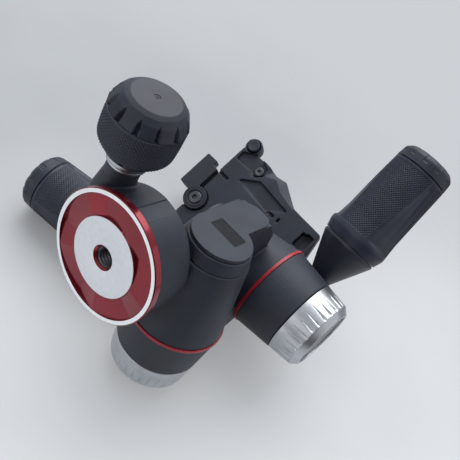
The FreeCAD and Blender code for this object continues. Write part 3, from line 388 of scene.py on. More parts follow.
# face turned in a lathe and bead blasted: bright, finely mottled
turnedFace = makeMetal("blastedBrightAluminium", "#D6D8DC", "#DCDDE2", 0.42, 0.8, 0.001, 2.5)
# the same turned face polished: the brightest metal on the thing
polishedFace = makeMetal("polishedBrightAluminium", "#F1F2F4", "#F6F7F8", 0.18, 0.8, 0.001, 2.5)
# satin chromed knob: cool grey, soft streaks
satinSilver = makeMetal("satinSilverAlloy", "#B2B5BA", "#BEC1C6", 0.34, 1.0, 0.006)
# brushed disc set into a knob
brushedDisc = makeMetal("brushedGreyAluminium", "#63666B", "#707378", 0.4, 0.8, 0.01)
brightTube = makeMetal("drawnAluminiumTube", "#B9BBBE", "#C9CBCE", 0.3, 1.5, 0.005)
boltSteel = makeMetal("blackedSteel", "#55585C", "#66696D", 0.42, 0.6, 0.01)
plainSteel = makeMetal("groundSteel", "#8C8E91", "#A0A2A5", 0.35, 1.0, 0.008)
nutBrass = makeMetal("turnedBrass", "#B08D4A", "#C29F5C", 0.3, 1.0, 0.006)
print("materials made")


# --- base disc: red, with a turned boss and rim and a five-bladed dish between them ---

discLook = {
    "radius": 29.9, "thickness": 3.6, "edge": 0.4,
    "rimInner": 27.55, "rimOuter": 29.5, "bossRadius": 17.9, "faceDepth": 0.8,
    "dishInner": 18.2, "dishOuter": 27.3, "ridgeDepth": 0.15, "valleyDepth": 1.6,
    "dishRows": 6, "blades": 5, "firstRidge": -5, "valleyAfter": 47,
    "threadRadius": 4.76, "mouthRadius": 5.75, "threadStart": 1.0, "threadEnd": 13.0,
    "threadRelief": 0.3, "hubRadius": 8.5, "hubEnd": 20.0,
}
threadLook = {"start": 1.02, "end": 12.9, "crest": 4.0, "root": 4.85, "outer": 5.0,
              "pitch": 1.5875, "row": 0.11, "steps": 72}


def dishDepth(angle):
    # straight ramps: down from a ridge to a valley, then steeply up to the next ridge
    span = 360 / discLook["blades"]
    turn = (angle - discLook["firstRidge"]) % span
    fall = discLook["valleyAfter"]
    share = turn / fall if turn < fall else (span - turn) / (span - fall)
    return discLook["ridgeDepth"] + share * (discLook["valleyDepth"] - discLook["ridgeDepth"])


def makeBaseDisc():
    look = discLook
    deep = look["faceDepth"]
    relief = look["threadRelief"]
    dishStep = (look["dishOuter"] - look["dishInner"]) / look["dishRows"]
    bm = lathe([
        (look["threadEnd"], 0), (look["threadEnd"], look["threadRadius"] + relief),
        (look["threadStart"], look["threadRadius"] + relief),
        (look["threadStart"], look["threadRadius"]),
        (0, look["mouthRadius"] - 0.1), (0, look["mouthRadius"]), (deep, look["mouthRadius"]),
        (deep, look["bossRadius"]), (0.05, look["bossRadius"] + 0.05),
        *[(0.1, look["dishInner"] + k * dishStep) for k in range(look["dishRows"] + 1)],
        (0.02, look["rimInner"] - 0.1), (deep, look["rimInner"]), (deep, look["rimOuter"]),
        (0, look["rimOuter"]), (look["edge"], look["radius"] - 0.02),
        (look["edge"] + 0.3, look["radius"]),
        (look["thickness"] - 0.3, look["radius"]), (look["thickness"], look["radius"] - 0.3),
        (look["thickness"], look["hubRadius"]), (look["hubEnd"], look["hubRadius"]),
        (look["hubEnd"], 0),
    ], steps=360)
    for vert in bm.verts:
        along, radius, angle = polar(vert)
        inside = look["dishInner"] - 0.05 < radius < look["dishOuter"] + 0.05
        if inside and along < 0.5:
            vert.co.x = dishDepth(-angle) * mm
    addPiece(bm, "baseDisc", upright, redAnodised, "base", ["base_disc"], sharp=5)
    boss = lathe([
        (0.02, look["mouthRadius"]), (0, look["mouthRadius"] + 0.1),
        (0, look["bossRadius"] - 0.15), (0.15, look["bossRadius"]),
        (deep, look["bossRadius"]), (deep, look["mouthRadius"]),
    ], steps=180, closed=True)
    addPiece(boss, "baseBossFace", upright, turnedFace, "base")
    rim = lathe([
        (0.1, look["rimInner"]), (0, look["rimInner"] + 0.1), (0, look["rimOuter"] - 0.1),
        (0.1, look["rimOuter"]), (deep, look["rimOuter"]), (deep, look["rimInner"]),
    ], steps=240, closed=True)
    addPiece(rim, "baseRimFace", upright, polishedFace, "base")


def threadTube():
    # tube with a triangular helix on its inner side
    look = threadLook
    start, end, root, pitch = look["start"], look["end"], look["root"], look["pitch"]
    rows = int((end - start) / look["row"])
    helix = [(start + (end - start) * k / rows, root) for k in range(rows + 1)]
    bm = lathe([*helix, (end, look["outer"]), (start, look["outer"])],
               steps=look["steps"], closed=True)
    for vert in bm.verts:
        along, radius, angle = polar(vert)
        if abs(radius - root) > 0.02:
            continue
        turn = (along / pitch - angle / 360) % 1
        wave = abs(2 * turn - 1)
        fade = ease(min(along - start, end - along) / pitch + 0.2)
        setRadius(vert, root + (look["crest"] - root) * wave * fade)
    return bm


makeBaseDisc()
addPiece(threadTube(), "baseThread", upright, boltSteel, "base", sharp=40)
print("base disc made")


# --- pan knob: rubber ring with a fine lattice, and a slit crown ---

knobLook = {
    "start": 35.1, "seam": 58.6, "end": 67.1, "radius": 16.9, "topRadius": 12.4,
    "slits": 12, "slitDepth": 2.1, "slitHalfAngle": 4.8, "slitEnd": 65.6, "flatShare": 0.7,
    "latticePitch": 1.6, "latticeDepth": 0.55, "bore": 8.0,
    "lead": 2.9, "neck": 11.2, "shoulderAt": 9.0, "shoulder": 16.3, "neckRise": 5.1, "neckRun": 6.1,
    "notchEnd": 6.6, "notchDepth": 1.3,
    "collar": [(33.0, 4.2), (33.0, 8.9, 0.2), (34.1, 8.9, 0.2), (34.2, 8.2), (34.8, 8.2),
               (34.9, 9.5, 0.2), (37.5, 9.9, 0.3), (37.5, 4.2)],
}


def lattice(along, angle, pitch, aroundCount):
    # height 0 to 1 of small pyramids between crossing grooves
    across = angle / 360 * aroundCount
    first = (across + along / pitch) % 1
    second = (across - along / pitch) % 1
    height = min(1 - abs(2 * first - 1), 1 - abs(2 * second - 1))
    return min(1.0, height * 1.8)


def makePanKnob():
    look = knobLook
    pitch = look["latticePitch"]
    count = round(math.tau * look["radius"] / pitch)
    steps = count * 6
    start = look["start"]
    seam = look["seam"]
    bm = lathe([
        (start + look["lead"], look["bore"]), (start + look["lead"], look["neck"], 0.6),
        (start + look["shoulderAt"], look["shoulder"], 5.0), (start + 16, 16.6, 6.0),
        (seam - 0.1, 16.5), (seam - 0.1, 12.0), (start + 4, look["bore"]),
    ], steps=steps, fine=pitch / 5, closed=True)
    for vert in bm.verts:
        along, radius, angle = polar(vert)
        climb = min(1.0, (along - start - look["lead"]) / look["neckRun"])
        surface = look["neck"] + look["neckRise"] * climb
        if radius < surface - 1.5 or along > seam - 0.2 or along < start + 3.0:
            continue
        edge = ease((along - start - 3.2) / 0.8) * ease((seam - 0.6 - along) / 0.5)
        height = lattice(along, angle, pitch, count)
        notch = ease(1.6 - abs(angleFrom(angle * look["slits"] / 2, 0)) / 14)
        notch *= ease((start + look["notchEnd"] - along) / 1.5)
        groove = look["latticeDepth"] * (1 - height) * edge
        setRadius(vert, radius - groove - look["notchDepth"] * notch)
    addPiece(bm, "panKnobRubber", panKnob, rubber, "pan_lock_knob",
             ["pan_knob_sleeve"], sharp=80)
    end = look["end"]
    top = look["topRadius"]
    outline = [
        (seam, 4.0), (seam, look["radius"] - 0.35), (seam + 0.25, look["radius"] + 0.05, 0.2),
        (seam + 5.1, look["radius"] - 2.2, 2.2), (end - 1.2, top, 1.5), (end, top - 2.0, 1.2),
        (end, 1.5), (end - 0.25, 1.3), (end - 0.25, 0.75), (end - 0.05, 0.6), (end - 0.05, 0.3),
        (end - 0.2, 0.2), (end - 0.2, 0),
    ]
    bm = lathe(outline, steps=480, fine=0.4)
    span = 360 / look["slits"]
    for vert in bm.verts:
        along, radius, angle = polar(vert)
        if radius < top - 0.4:
            continue
        aside = abs(angleFrom((angle + span / 2) % span, span / 2))
        reach = ease((look["slitEnd"] - along) / 4.5)
        half = look["slitHalfAngle"] * (0.25 + 0.75 * reach)
        flat = math.cos(math.radians(span / 2)) / math.cos(math.radians(span / 2 - aside))
        flat = 1 - (1 - flat) * look["flatShare"] * ease((end - 0.6 - along) / 3)
        cut = look["slitDepth"] * reach * max(0.0, 1 - aside / half)
        setRadius(vert, radius * flat - cut)
    addPiece(bm, "panKnobCrown", panKnob, mouldedBlack, "pan_lock_knob",
             ["pan_knob_core"], sharp=30)
    collar = lathe(look["collar"], closed=True)
    addPiece(collar, "panKnobCollar", panKnob, satinSilver, "pan_turret",
             ["knob_collar"])


makePanKnob()
print("pan knob made")


# --- levers: smooth cone, rubber grip with three plain flutes, notched cap ---

gripLook = {
    "root": 20.9, "seam": 44.9, "start": 45.2, "length": 55.0,
    "bulge": 19.2, "bulgeAt": 5.5, "waist": 18.0, "waistAt": 17.0, "endRadius": 16.6,
    "rootRadius": 7.0, "studRadius": 4.0, "tubeRadius": 8.1, "coneRadius": 17.3, "coneLip": 0.45,
    "coreRadius": 12.5, "capLength": 9.2, "capEnd": 13.4, "capGap": 0.35,
    "latticePitch": 1.7, "latticeDepth": 0.55, "plainBand": 8.5,
    "fluteHalf": 29, "fluteTaper": 0.65, "fluteDepth": 1.1,
    "capNotches": 12, "notchHalf": 4.5, "notchDepth": 0.45,
}


def makeLever(side, spot, turned):
    look = gripLook
    gripBody = f"{side}_grip"
    seam = look["seam"]
    cone = lathe([
        (look["root"], look["studRadius"]), (look["root"], look["rootRadius"], 0.5),
        (seam - 1.6, look["coneRadius"], 1.2), (seam - 0.3, look["coneRadius"] - 0.05, 0.2),
        (seam - 0.3, look["coneRadius"] - look["coneLip"]),
        (seam + 0.22, look["coneRadius"] - look["coneLip"]), (seam + 0.22, look["tubeRadius"]),
        (seam - 6, look["tubeRadius"]), (seam - 6, look["studRadius"]),
    ], closed=True, steps=128)
    addPiece(cone, f"{side}LeverCone", spot, glossBlack, f"{side}_lever",
             [f"{side}_lever_hub"])
    start = look["start"]
    end = start + look["length"]
    pitch = look["latticePitch"]
    count = 3 * round(math.tau * look["waist"] / pitch / 3)
    bm = lathe([
        (start, look["coreRadius"]), (start, look["coneRadius"] + 0.25, 0.25),
        (start + look["bulgeAt"], look["bulge"], 5.0),
        (start + look["waistAt"], look["waist"], 8.0),
        (end, look["endRadius"], 0.3), (end, look["coreRadius"]),
    ], steps=count * 6, fine=pitch / 5.5, closed=True, inner=look["coreRadius"])
    for vert in bm.verts:
        along, radius, angle = polar(vert)
        if radius < look["coreRadius"] + 1.5:
            continue
        aside = abs(angleFrom((angle - turned + 60) % 120, 60))
        reach = (along - start) / look["length"]
        half = look["fluteHalf"] * (1 - look["fluteTaper"] * ease((reach - 0.15) / 0.8))
        plain = ease((half + 1.5 - aside) / 3)
        inBand = ease((along - start - look["plainBand"] + 1) / 2)
        edge = inBand * ease((end - 1.2 - along) / 0.8) * (1 - plain)
        height = lattice(along, angle, pitch, count)
        scoop = ease((half + 1 - aside) / (half * 0.75)) * inBand * ease((end - along) / 6)
        dip = look["fluteDepth"] * scoop + look["latticeDepth"] * (1 - height) * edge
        setRadius(vert, radius - dip)
    addPiece(bm, f"{side}GripRubber", spot, rubber, gripBody,
             [f"{side}_grip_sleeve"], sharp=80)
    capStart = end + look["capGap"]
    capEnd = end + look["capLength"]
    cap = lathe([
        (capStart, 0), (capStart, look["endRadius"] - 0.6), (capStart + 0.5, look["endRadius"]),
        (capEnd - 2.4, look["endRadius"] - 0.6, 2.5), (capEnd, look["capEnd"], 1.5),
        (capEnd + 0.2, look["capEnd"] - 1.5), (capEnd - 0.2, look["capEnd"] - 2.0),
        (capEnd, 0),
    ], steps=360, fine=0.5)
    span = 360 / look["capNotches"]
    for vert in cap.verts:
        along, radius, angle = polar(vert)
        if radius < look["capEnd"] - 1 or along < capStart + 3.2:
            continue
        aside = abs(angleFrom((angle + span / 2) % span, span / 2))
        deep = ease((look["notchHalf"] - aside) / 0.8 + 1) * ease((along - capStart - 3.4) / 0.5)
        setRadius(vert, radius - look["notchDepth"] * deep)
    addPiece(cap, f"{side}GripCap", spot, mouldedBlack, gripBody,
             [f"{side}_grip_cap"], sharp=30)


makeLever("front", frontLever, 18)
makeLever("side", sideLever, -43)
print("levers made")


# --- friction knobs: satin silver shells with tapering flutes ---

frictionLook = {
    "start": 22.9, "length": 17.0, "bevel": 3.4, "baseRadius": 22.3, "sideRadius": 20.9,
    "endRadius": 17.8, "discRadius": 16.3, "discDepth": 1.4, "wall": 2.2,
    "hubStart": 14.8, "hubBore": 9.6, "hubRadius": 13.0,
    "flutes": 30, "fluteStart": 3.4, "fluteDepth": 0.7, "fluteHalf": 2.7,
    "nutStart": 9.9, "nutEnd": 14.75, "nutRadius": 15.0, "nutBore": 9.1, "hubStep": 3.2,
    "ring": [(-0.55, 21.5), (-0.55, 25.02), (-0.85, 25.02), (-0.85, 25.35, 0.15),
             (0.85, 25.35, 0.15), (0.85, 25.02), (0.55, 25.02), (0.55, 21.5)],
}


def makeFrictionKnob(side, spot):
    look = frictionLook
    start = look["start"]
    end = start + look["length"]
    floor = end - look["discDepth"]
    inside = floor - look["wall"]
    bm = lathe([
        (look["hubStart"] + look["hubStep"], 0),
        (look["hubStart"] + look["hubStep"], look["hubBore"]),
        (look["hubStart"], look["hubBore"]), (look["hubStart"], look["hubRadius"]),
        (inside, look["hubRadius"]), (inside, look["sideRadius"] - 3.8),
        (start, look["baseRadius"] - 3.6),
        (start, look["baseRadius"], 0.4), (end - look["bevel"], look["sideRadius"], 1.2),
        (end, look["endRadius"], 0.5), (end, look["discRadius"] + 0.1, 0.2),
        (floor, look["discRadius"] + 0.1), (floor, 0),
    ], steps=540, fine=0.5, inner=look["hubRadius"])
    span = 360 / look["flutes"]
    for vert in bm.verts:
        along, radius, angle = polar(vert)
        fluted = start + look["fluteStart"] <= along <= end - 0.6
        if radius < look["endRadius"] - 0.2 or not fluted:
            continue
        if radius < look["sideRadius"] - 1.5 and along < end - look["bevel"] - 1:
            continue
        run = look["length"] - look["bevel"] - look["fluteStart"]
        share = min(1.0, (along - start - look["fluteStart"]) / run)
        fade = ease((end - look["bevel"] + 0.3 - along) / 1.8)
        half = look["fluteHalf"] * (0.25 + 0.75 * share)
        aside = abs(angleFrom((angle + span / 2) % span, span / 2))
        if aside < half:
            setRadius(vert, radius - look["fluteDepth"] * share * (1 - aside / half) * fade)
    addPiece(bm, f"{side}KnobShell", spot, satinSilver, f"{side}_friction_knob",
             [f"{side}_knob_shell"], sharp=40)
    disc = lathe([
        (floor, 0), (floor, look["discRadius"]), (floor + 0.7, look["discRadius"], 0.2),
        (floor + 0.7, look["discRadius"] - 2.2, 0.2), (floor + 0.25, look["discRadius"] - 2.7),
        (floor + 0.25, look["discRadius"] - 3.4), (floor + 0.5, look["discRadius"] - 3.8),
        (floor + 0.45, 0),
    ], steps=160)
    addPiece(disc, f"{side}KnobDisc", spot, brushedDisc, f"{side}_friction_knob",
             [f"{side}_knob_disc"])
    nut = lathe([
        (look["nutStart"], look["nutBore"]), (look["nutEnd"], look["nutBore"]),
        (look["nutEnd"], look["nutRadius"], 0.4),
        (look["nutStart"], look["nutRadius"], 0.4),
    ], closed=True)
    addPiece(nut, f"{side}FrictionNut", spot, nutBrass, f"{side}_friction_knob",
             [f"{side}_friction_nut"])
    ring = lathe(look["ring"], steps=192, closed=True)
    ringBody = "elbow" if side == "front" else "platform"
    addPiece(ring, f"{side}TrimRing", spot, trimRed, ringBody, [f"{side}_ring"])


makeFrictionKnob("front", frontBarrel)
makeFrictionKnob("side", platformBarrel)
print("friction knobs made")


# --- castings ---

turretLook = {"radius": 28.0, "flatAngle": 9.4, "flatHalf": 7.9, "flatDepth": 0.65,
              "low": 4.0, "high": 24.0}


def shapeTurret(bm):
    # a flat panel pressed into the round wall
    look = turretLook
    chord = look["radius"] * math.cos(math.radians(look["flatHalf"])) - look["flatDepth"]
    for vert in bm.verts:
        aside = angleFrom(math.degrees(math.atan2(vert.co.y, vert.co.x)), look["flatAngle"])
        if abs(aside) > look["flatHalf"] or not look["low"] < vert.co.z / mm < look["high"]:
            continue
        radius = math.hypot(vert.co.x, vert.co.y) / mm
        wanted = chord / math.cos(math.radians(aside))
        if radius > wanted:
            vert.co.x *= wanted / radius
            vert.co.y *= wanted / radius


casting("pan_housing", "turretCasting", castBlack, "pan_turret",
        castLook["cell"], castLook["passes"], shape=shapeTurret)
casting("elbow_casting", "elbowCasting", castBlack, "elbow",
        castLook["cell"], castLook["passes"])

deckLook = {
    "bottom": 25.8, "top": 33.0,
    "pocketDepth": 1.7, "slotDepth": 2.0, "wellDepth": 2.3, "windowDepth": 4.6,
    "scoopRise": 3.0, "rearFrom": -11.2, "rearTo": -4.6, "rearBelow": 6.0, "rearSqueeze": 0.07,
    "pocket": [(35.6, -28.2), (43.3, -17.7), (40.8, 8.5), (32.0, -2.5)],
    "well": [(44.1, -39.8), (49.6, -40.4), (55.8, -30.0), (51.8, -20.0), (46.6, -18.6),
             (42.9, -22.5), (44.0, -28.0), (43.4, -38.0)],
    "slots": [[(31.9, -0.8), (33.9, -0.8), (33.9, 4.3), (31.9, 4.3)],
              [(31.6, 7.3), (34.9, 7.3), (34.9, 8.6), (31.6, 8.6)],
              [(29.1, -44.0), (31.0, -44.0), (31.0, -33.6), (29.1, -33.6)],
              [(8.7, -27.2), (13.8, -27.2), (13.8, -25.7), (8.7, -25.7)]],
    "window": [(29.0, 26.7), (40.2, 26.7), (40.2, 31.6), (29.0, 31.6)],
    "scoopInner": [(-22.0, 47.3), (-17.9, 47.5), (-11.7, 51.0), (-3.4, 46.6), (12.1, 43.6)],
    "scoopOuter": [(-22.0, 56.5), (-15.2, 54.4), (-10.9, 54.7), (-5.7, 55.4), (12.1, 46.4)],
}


def onLine(points, at):
    for (y0, x0), (y1, x1) in zip(points, points[1:]):
        if y0 <= at <= y1:
            return x0 + (x1 - x0) * (at - y0) / (y1 - y0)
    return None


def shapeDeck(bm):
    # the long edge of the deck rises in a soft scoop
    look = deckLook
    back = platform.inverted()
    for vert in bm.verts:
        local = back @ vert.co / mm
        if look["rearFrom"] < local.y < look["rearTo"] and local.z < look["rearBelow"]:
            squeeze = 1 - look["rearSqueeze"] * ease((look["rearBelow"] - local.z) / 8)
            local.x *= squeeze
            local.z *= squeeze
            vert.co = platform @ (local * mm)
            continue
        inner = onLine(look["scoopInner"], local.y)
        if inner is None or not look["bottom"] - 0.5 < local.z < look["top"]:
            continue
        outer = onLine(look["scoopOuter"], local.y)
        share = min(1.0, max(0.0, (local.x - inner) / (outer - inner)))
        ends = ease((local.y + 21) / 5) * ease((12 - local.y) / 8)
        lift = look["scoopRise"] * share * ends
        rest = (look["top"] - local.z) / (look["top"] - look["bottom"])
        local.z += lift * rest
        vert.co = platform @ (local * mm)


def makePlatform():
    look = deckLook
    low = look["bottom"] - 2
    cuts = [prism(look["pocket"], low, look["bottom"] + look["pocketDepth"]),
            prism(look["well"], low, look["bottom"] + look["wellDepth"]),
            prism(look["window"], low, look["bottom"] + look["windowDepth"])]
    cuts += [prism(slot, low, look["bottom"] + look["slotDepth"]) for slot in look["slots"]]
    for cut in cuts:
        bmesh.ops.transform(cut, matrix=platform, verts=cut.verts)
    casting("platform_casting", "platformCasting", castBlack, "platform",
            castLook["cell"], castLook["passes"], cuts, shapeDeck)


makePlatform()
casting("side_cap", "sideCap", coverGrey, "elbow",
        castLook["fineCell"], castLook["coverPasses"])


def shapeRearCap(bm):
    # drawn in a little towards its axis, with the disc that it covers
    back = platform.inverted()
    for vert in bm.verts:
        local = back @ vert.co
        local.x *= 1 - deckLook["rearSqueeze"]
        local.z *= 1 - deckLook["rearSqueeze"]
        vert.co = platform @ local


casting("rear_cap", "rearCap", mouldedBlack, "platform",
        castLook["fineCell"], castLook["coverPasses"], shape=shapeRearCap)
casting("catch_lever", "catchLever", glossBlack, "plate_catch",
        castLook["fineCell"], castLook["passes"])
casting("camera_plate", "cameraPlate", castBlack, "quick_plate",
        castLook["cell"], castLook["platePasses"])
print("castings made")


# --- small fittings ---

fittingLook = {
    "buttonAt": (56.6, -37.6),
    "button": [(2.4, 0), (2.4, 3.8), (-1.4, 3.8, 0.5), (-1.9, 3.3, 0.3), (-1.75, 2.6), (-1.55, 0)],
    "catchAt": (7.5, -39.0),
    "catchBolt": {"radius": 4.1, "height": 2.6, "socket": 1.9, "depth": 1.6}, "catchSink": 0.4,
    "catchRing": [(-1.9, 4.8), (-2.25, 5.0, 0.1), (-2.25, 5.9, 0.1), (-1.6, 6.2), (-1.6, 6.5),
                  (-2.05, 6.7, 0.15), (-2.05, 7.4, 0.3), (-1.2, 7.7), (-0.6, 7.7), (-0.6, 4.8)],
    "jawAt": (47.2, -23.2),
    "jawScrew": {"radius": 3.0, "height": 2.2, "socket": 1.3, "depth": 1.2},
}


def underDeck(spot, rise=0):
    # a place on the deck's underside, looking out of it
    return platform @ place(*spot, deckLook["bottom"] + rise) @ upright


def makeButton():
    spot = underDeck(fittingLook["buttonAt"])
    bm = lathe(fittingLook["button"], steps=64)
    addPiece(bm, "safetyButton", spot, mouldedBlack, "safety_button",
             ["safety_button"])


def hexSocketBolt(radius, height, socket, depth):
    # round head with an inner hexagon, standing along -X from 0
    bm = lathe([
        (0, 0), (0, radius), (-height + 0.4, radius), (-height, radius - 0.5),
        (-height, socket * 1.25),
    ], steps=60)
    rim = [e for e in bm.edges if e.is_boundary]
    hexagon = bmesh.ops.create_circle(bm, radius=socket * mm, segments=60,
                                      matrix=place(-height + 0.15) @ place(pitch=90))
    for vert in hexagon["verts"]:
        angle = math.degrees(math.atan2(vert.co.z, vert.co.y)) % 60 - 30
        setRadius(vert, socket * math.cos(math.radians(30)) / math.cos(math.radians(angle)))
    inner = [e for e in bm.edges if not e.link_faces]
    bmesh.ops.bridge_loops(bm, edges=rim + inner)
    walls = bmesh.ops.extrude_edge_only(bm, edges=inner)
    moved = [item for item in walls["geom"] if isinstance(item, bmesh.types.BMVert)]
    bmesh.ops.translate(bm, verts=moved, vec=(depth * mm, 0, 0))
    bottom = [item for item in walls["geom"] if isinstance(item, bmesh.types.BMEdge)
              and all(v in moved for v in item.verts)]
    bmesh.ops.contextual_create(bm, geom=bottom)
    bmesh.ops.recalc_face_normals(bm, faces=bm.faces)
    return bm


def makeCatchBolt():
    spot = underDeck(fittingLook["catchAt"])
    bolt = hexSocketBolt(**fittingLook["catchBolt"])
    bmesh.ops.translate(bolt, verts=bolt.verts, vec=(fittingLook["catchSink"] * mm, 0, 0))
    addPiece(bolt, "catchBolt", spot, boltSteel, "platform", ["catch_screw"])
    ring = lathe(fittingLook["catchRing"], steps=96, closed=True)
    addPiece(ring, "catchBoltRing", spot, mouldedBlack, "plate_catch")


def makeJawScrew():
    spot = underDeck(fittingLook["jawAt"], deckLook["wellDepth"])
    screw = hexSocketBolt(**fittingLook["jawScrew"])
    addPiece(screw, "jawScrew", spot, boltSteel, "platform", ["jaw_screw"])


makeButton()
makeCatchBolt()
makeJawScrew()
print("fittings made")


# --- the solids that stay as they are ---

solidFinish = {
    "pan_spindle": plainSteel, "pan_retainer": plainSteel, "retainer_screws": boltSteel,
    "pan_bush": glossBlack, "pan_washer": glossBlack, "pan_wedge": nutBrass,
    "pan_knob_stud": plainSteel, "label_plate": labelBlack, "level_vial": glossBlack,
    "plate_pads": rubber, "camera_screw": plainSteel,
}
for side in ("front", "side"):
    solidFinish.update({
        f"{side}_shaft": plainSteel, f"{side}_bushes": glossBlack,
        f"{side}_friction_washer": glossBlack, f"{side}_spring": plainSteel,
        f"{side}_lever_stud": plainSteel, f"{side}_lever_tube": brightTube,
        f"{side}_grip_core": glossBlack,
    })
for node, material in solidFinish.items():
    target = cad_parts[node]
    target.data.materials.clear()
    target.data.materials.append(material)


# --- camera, floor and light ---

cameraLook = {
    "lens": 46.749, "sensor": 36.0,
    "position": (170.2217, 103.9159, -154.7618),
    "right": (0.4426534, 0.6696849, 0.5963054),
    "down": (-0.6978535, 0.6748740, -0.2398867),
    "ahead": (-0.5630795, -0.3099471, 0.7660772),
}


def makeCamera():
    look = cameraLook
    data = bpy.data.cameras.new("mainCamera")
    data.sensor_width = look["sensor"]
    data.lens = look["lens"]
    data.clip_start = 0.01
    camera = bpy.data.objects.new("mainCamera", data)
    scene.collection.objects.link(camera)
    axes = Matrix((look["right"], [-v for v in look["down"]], [-v for v in look["ahead"]]))
    camera.matrix_world = Matrix.Translation([v * mm for v in look["position"]]) \
        @ axes.transposed().to_4x4()
    scene.camera = camera


makeCamera()


floorLook = {"facing": (0.97, 0.14, -0.21), "away": -82.0, "size": 520.0,
             "fadeStart": 190.0, "fadeEnd": 410.0, "glow": "#FAFBFC", "glowStrength": 0.25,
             "glowFrom": 90.0, "glowTo": -60.0}


def seenRays(tree):
    # 1 for what the camera sees, straight on or in metal and glass, and 0 for light
    path = addNode(tree, "ShaderNodeLightPath")
    mirrored = addNode(tree, "ShaderNodeMath", {"operation": "MAXIMUM"},
                       {0: path.outputs["Is Camera Ray"], 1: path.outputs["Is Glossy Ray"]})
    seen = addNode(tree, "ShaderNodeMath", {"operation": "MAXIMUM"},
                   {0: mirrored.outputs[0], 1: path.outputs["Is Transmission Ray"]})
    return seen.outputs[0]


def makeTable(centre):
    # matt white paper table, faintly clouded, thinning out towards its edge
    material, tree, here = startMaterial("whiteTable")
    base = patches(tree, here, 160, "#AEB0B2", "#B8BABB")
    lit = addNode(tree, "ShaderNodeBsdfDiffuse", None, {"Color": base})
    # painted light: the table glows a little of its own towards the bottom of the view, for the
    # camera and in metal and glass, which softens the shadow
    height = addNode(tree, "ShaderNodeVectorMath",
                     {"operation": "DOT_PRODUCT", 1: [-v for v in cameraLook["down"]]}, {0: here})
    paintedGlowShare = addNode(tree, "ShaderNodeMapRange",
                    {"interpolation_type": "SMOOTHSTEP", "From Min": floorLook["glowFrom"] * mm,
                     "From Max": floorLook["glowTo"] * mm, "To Max": floorLook["glowStrength"]},
                    {"Value": height.outputs["Value"]})
    strength = addNode(tree, "ShaderNodeMath", {"operation": "MULTIPLY"},
                       {0: seenRays(tree), 1: paintedGlowShare.outputs["Result"]})
    # painted light: a faint glow on the table, where there is no lamp
    pale = addNode(tree, "ShaderNodeEmission", {"Color": colour(floorLook["glow"])},
                   {"Strength": strength.outputs[0]})
    paper = addNode(tree, "ShaderNodeAddShader", None,
                    {0: lit.outputs["BSDF"], 1: pale.outputs["Emission"]})
    clear = addNode(tree, "ShaderNodeBsdfTransparent")
    away = addNode(tree, "ShaderNodeVectorMath", {"operation": "DISTANCE", 1: centre}, {0: here})
    fade = addNode(tree, "ShaderNodeMapRange",
                   {"interpolation_type": "SMOOTHSTEP", "From Min": floorLook["fadeStart"] * mm,
                    "From Max": floorLook["fadeEnd"] * mm}, {"Value": away.outputs["Value"]})
    # from underneath it is clear, so it never hides the thing
    below = addNode(tree, "ShaderNodeNewGeometry").outputs["Backfacing"]
    share = addNode(tree, "ShaderNodeMath", {"operation": "MAXIMUM"},
                    {0: below, 1: fade.outputs["Result"]})
    both = addNode(tree, "ShaderNodeMixShader", None,
                   {0: share.outputs[0], 1: paper.outputs["Shader"], 2: clear.outputs["BSDF"]})
    addNode(tree, "ShaderNodeOutputMaterial", None, {"Surface": both.outputs["Shader"]})
    return material


def makeFloor():
    # the table that the thing lies on, behind it
    facing = Vector(floorLook["facing"]).normalized()
    centre = facing * floorLook["away"] * mm
    bm = bmesh.new()
    spot = Matrix.Translation(centre) @ facing.to_track_quat("Z", "Y").to_matrix().to_4x4()
    bmesh.ops.create_grid(bm, x_segments=1, y_segments=1, size=floorLook["size"] * mm, matrix=spot)
    floor = meshObject(bm, "tableTop", 30)
    floor.data.materials.append(makeTable(centre))


makeFloor()
upInView = -Vector(cameraLook["down"])
rightInView = Vector(cameraLook["right"])
towardsEye = -Vector(cameraLook["ahead"])
middle = Vector((-0.005, 0.0, 0.075))


def softbox(name, direction, distance, size, power):
    data = bpy.data.lights.new(name, "AREA")
    data.size = size
    data.energy = power
    lamp = bpy.data.objects.new(name, data)
    scene.collection.objects.link(lamp)
    spot = middle + direction.normalized() * distance
    aim = (middle - spot).to_track_quat("-Z", "Y")
    lamp.matrix_world = Matrix.Translation(spot) @ aim.to_matrix().to_4x4()
    return lamp


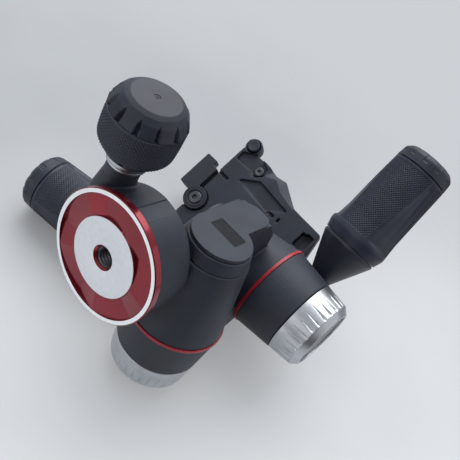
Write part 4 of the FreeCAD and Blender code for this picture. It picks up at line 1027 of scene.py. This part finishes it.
# direction, distance, size and power of each lamp
lampLook = {
    "windowLight": (upInView + rightInView * 0.45 + towardsEye * 0.22, 3.0, 3.0, 84.0),
    "fillLight": (towardsEye - rightInView * 0.5, 0.9, 0.5, 0.9),
    "sideFill": (rightInView - upInView * 0.4 + towardsEye * 0.2, 0.9, 0.9, 1.6),
    # white card to the left: it shows only as a reflection in the turned faces
    "whiteCard": (towardsEye * 0.2 - rightInView * 0.92 - upInView * 0.34, 0.8, 1.0, 3.8),
}
for name, settings in lampLook.items():
    softbox(name, *settings).visible_diffuse = name != "whiteCard"

# a room that is bright on the window side and dim below; plain and pale where it is looked at
roomLook = {"brightFrom": upInView + rightInView * 0.3 + towardsEye * 0.2,
            "dimAt": -0.45, "brightAt": 0.95, "dim": 0.13, "bright": 1.15,
            "tint": "#D5DAE2", "backdrop": "#CDD0D5"}
world = bpy.data.worlds.new("paleRoom")
scene.world = world
world.use_nodes = True
tree = world.node_tree
tree.nodes.clear()
path = addNode(tree, "ShaderNodeLightPath")
way = addNode(tree, "ShaderNodeTexCoord").outputs["Generated"]
facing = addNode(tree, "ShaderNodeVectorMath",
                 {"operation": "DOT_PRODUCT", 1: roomLook["brightFrom"].normalized()}, {0: way})
level = addNode(tree, "ShaderNodeMapRange",
                {"interpolation_type": "SMOOTHSTEP", "From Min": roomLook["dimAt"],
                 "From Max": roomLook["brightAt"],
                 "To Min": roomLook["dim"], "To Max": roomLook["bright"]},
                {"Value": facing.outputs["Value"]})
# the camera, metal and glass see the backdrop's colour; mirrored, it is as bright as its side
tone = addNode(tree, "ShaderNodeMix",
               {"data_type": "RGBA", 6: colour(roomLook["tint"]), 7: colour(roomLook["backdrop"])},
               {0: seenRays(tree)})
strength = addNode(tree, "ShaderNodeMix", {"data_type": "FLOAT", 3: 1.0},
                   {0: path.outputs["Is Camera Ray"], 2: level.outputs["Result"]})
glow = addNode(tree, "ShaderNodeBackground", None,
               {"Color": tone.outputs[2], "Strength": strength.outputs[0]})
addNode(tree, "ShaderNodeOutputWorld", None, {"Surface": glow.outputs[0]})

scene.view_settings.view_transform = "Standard"
print("camera and light made")
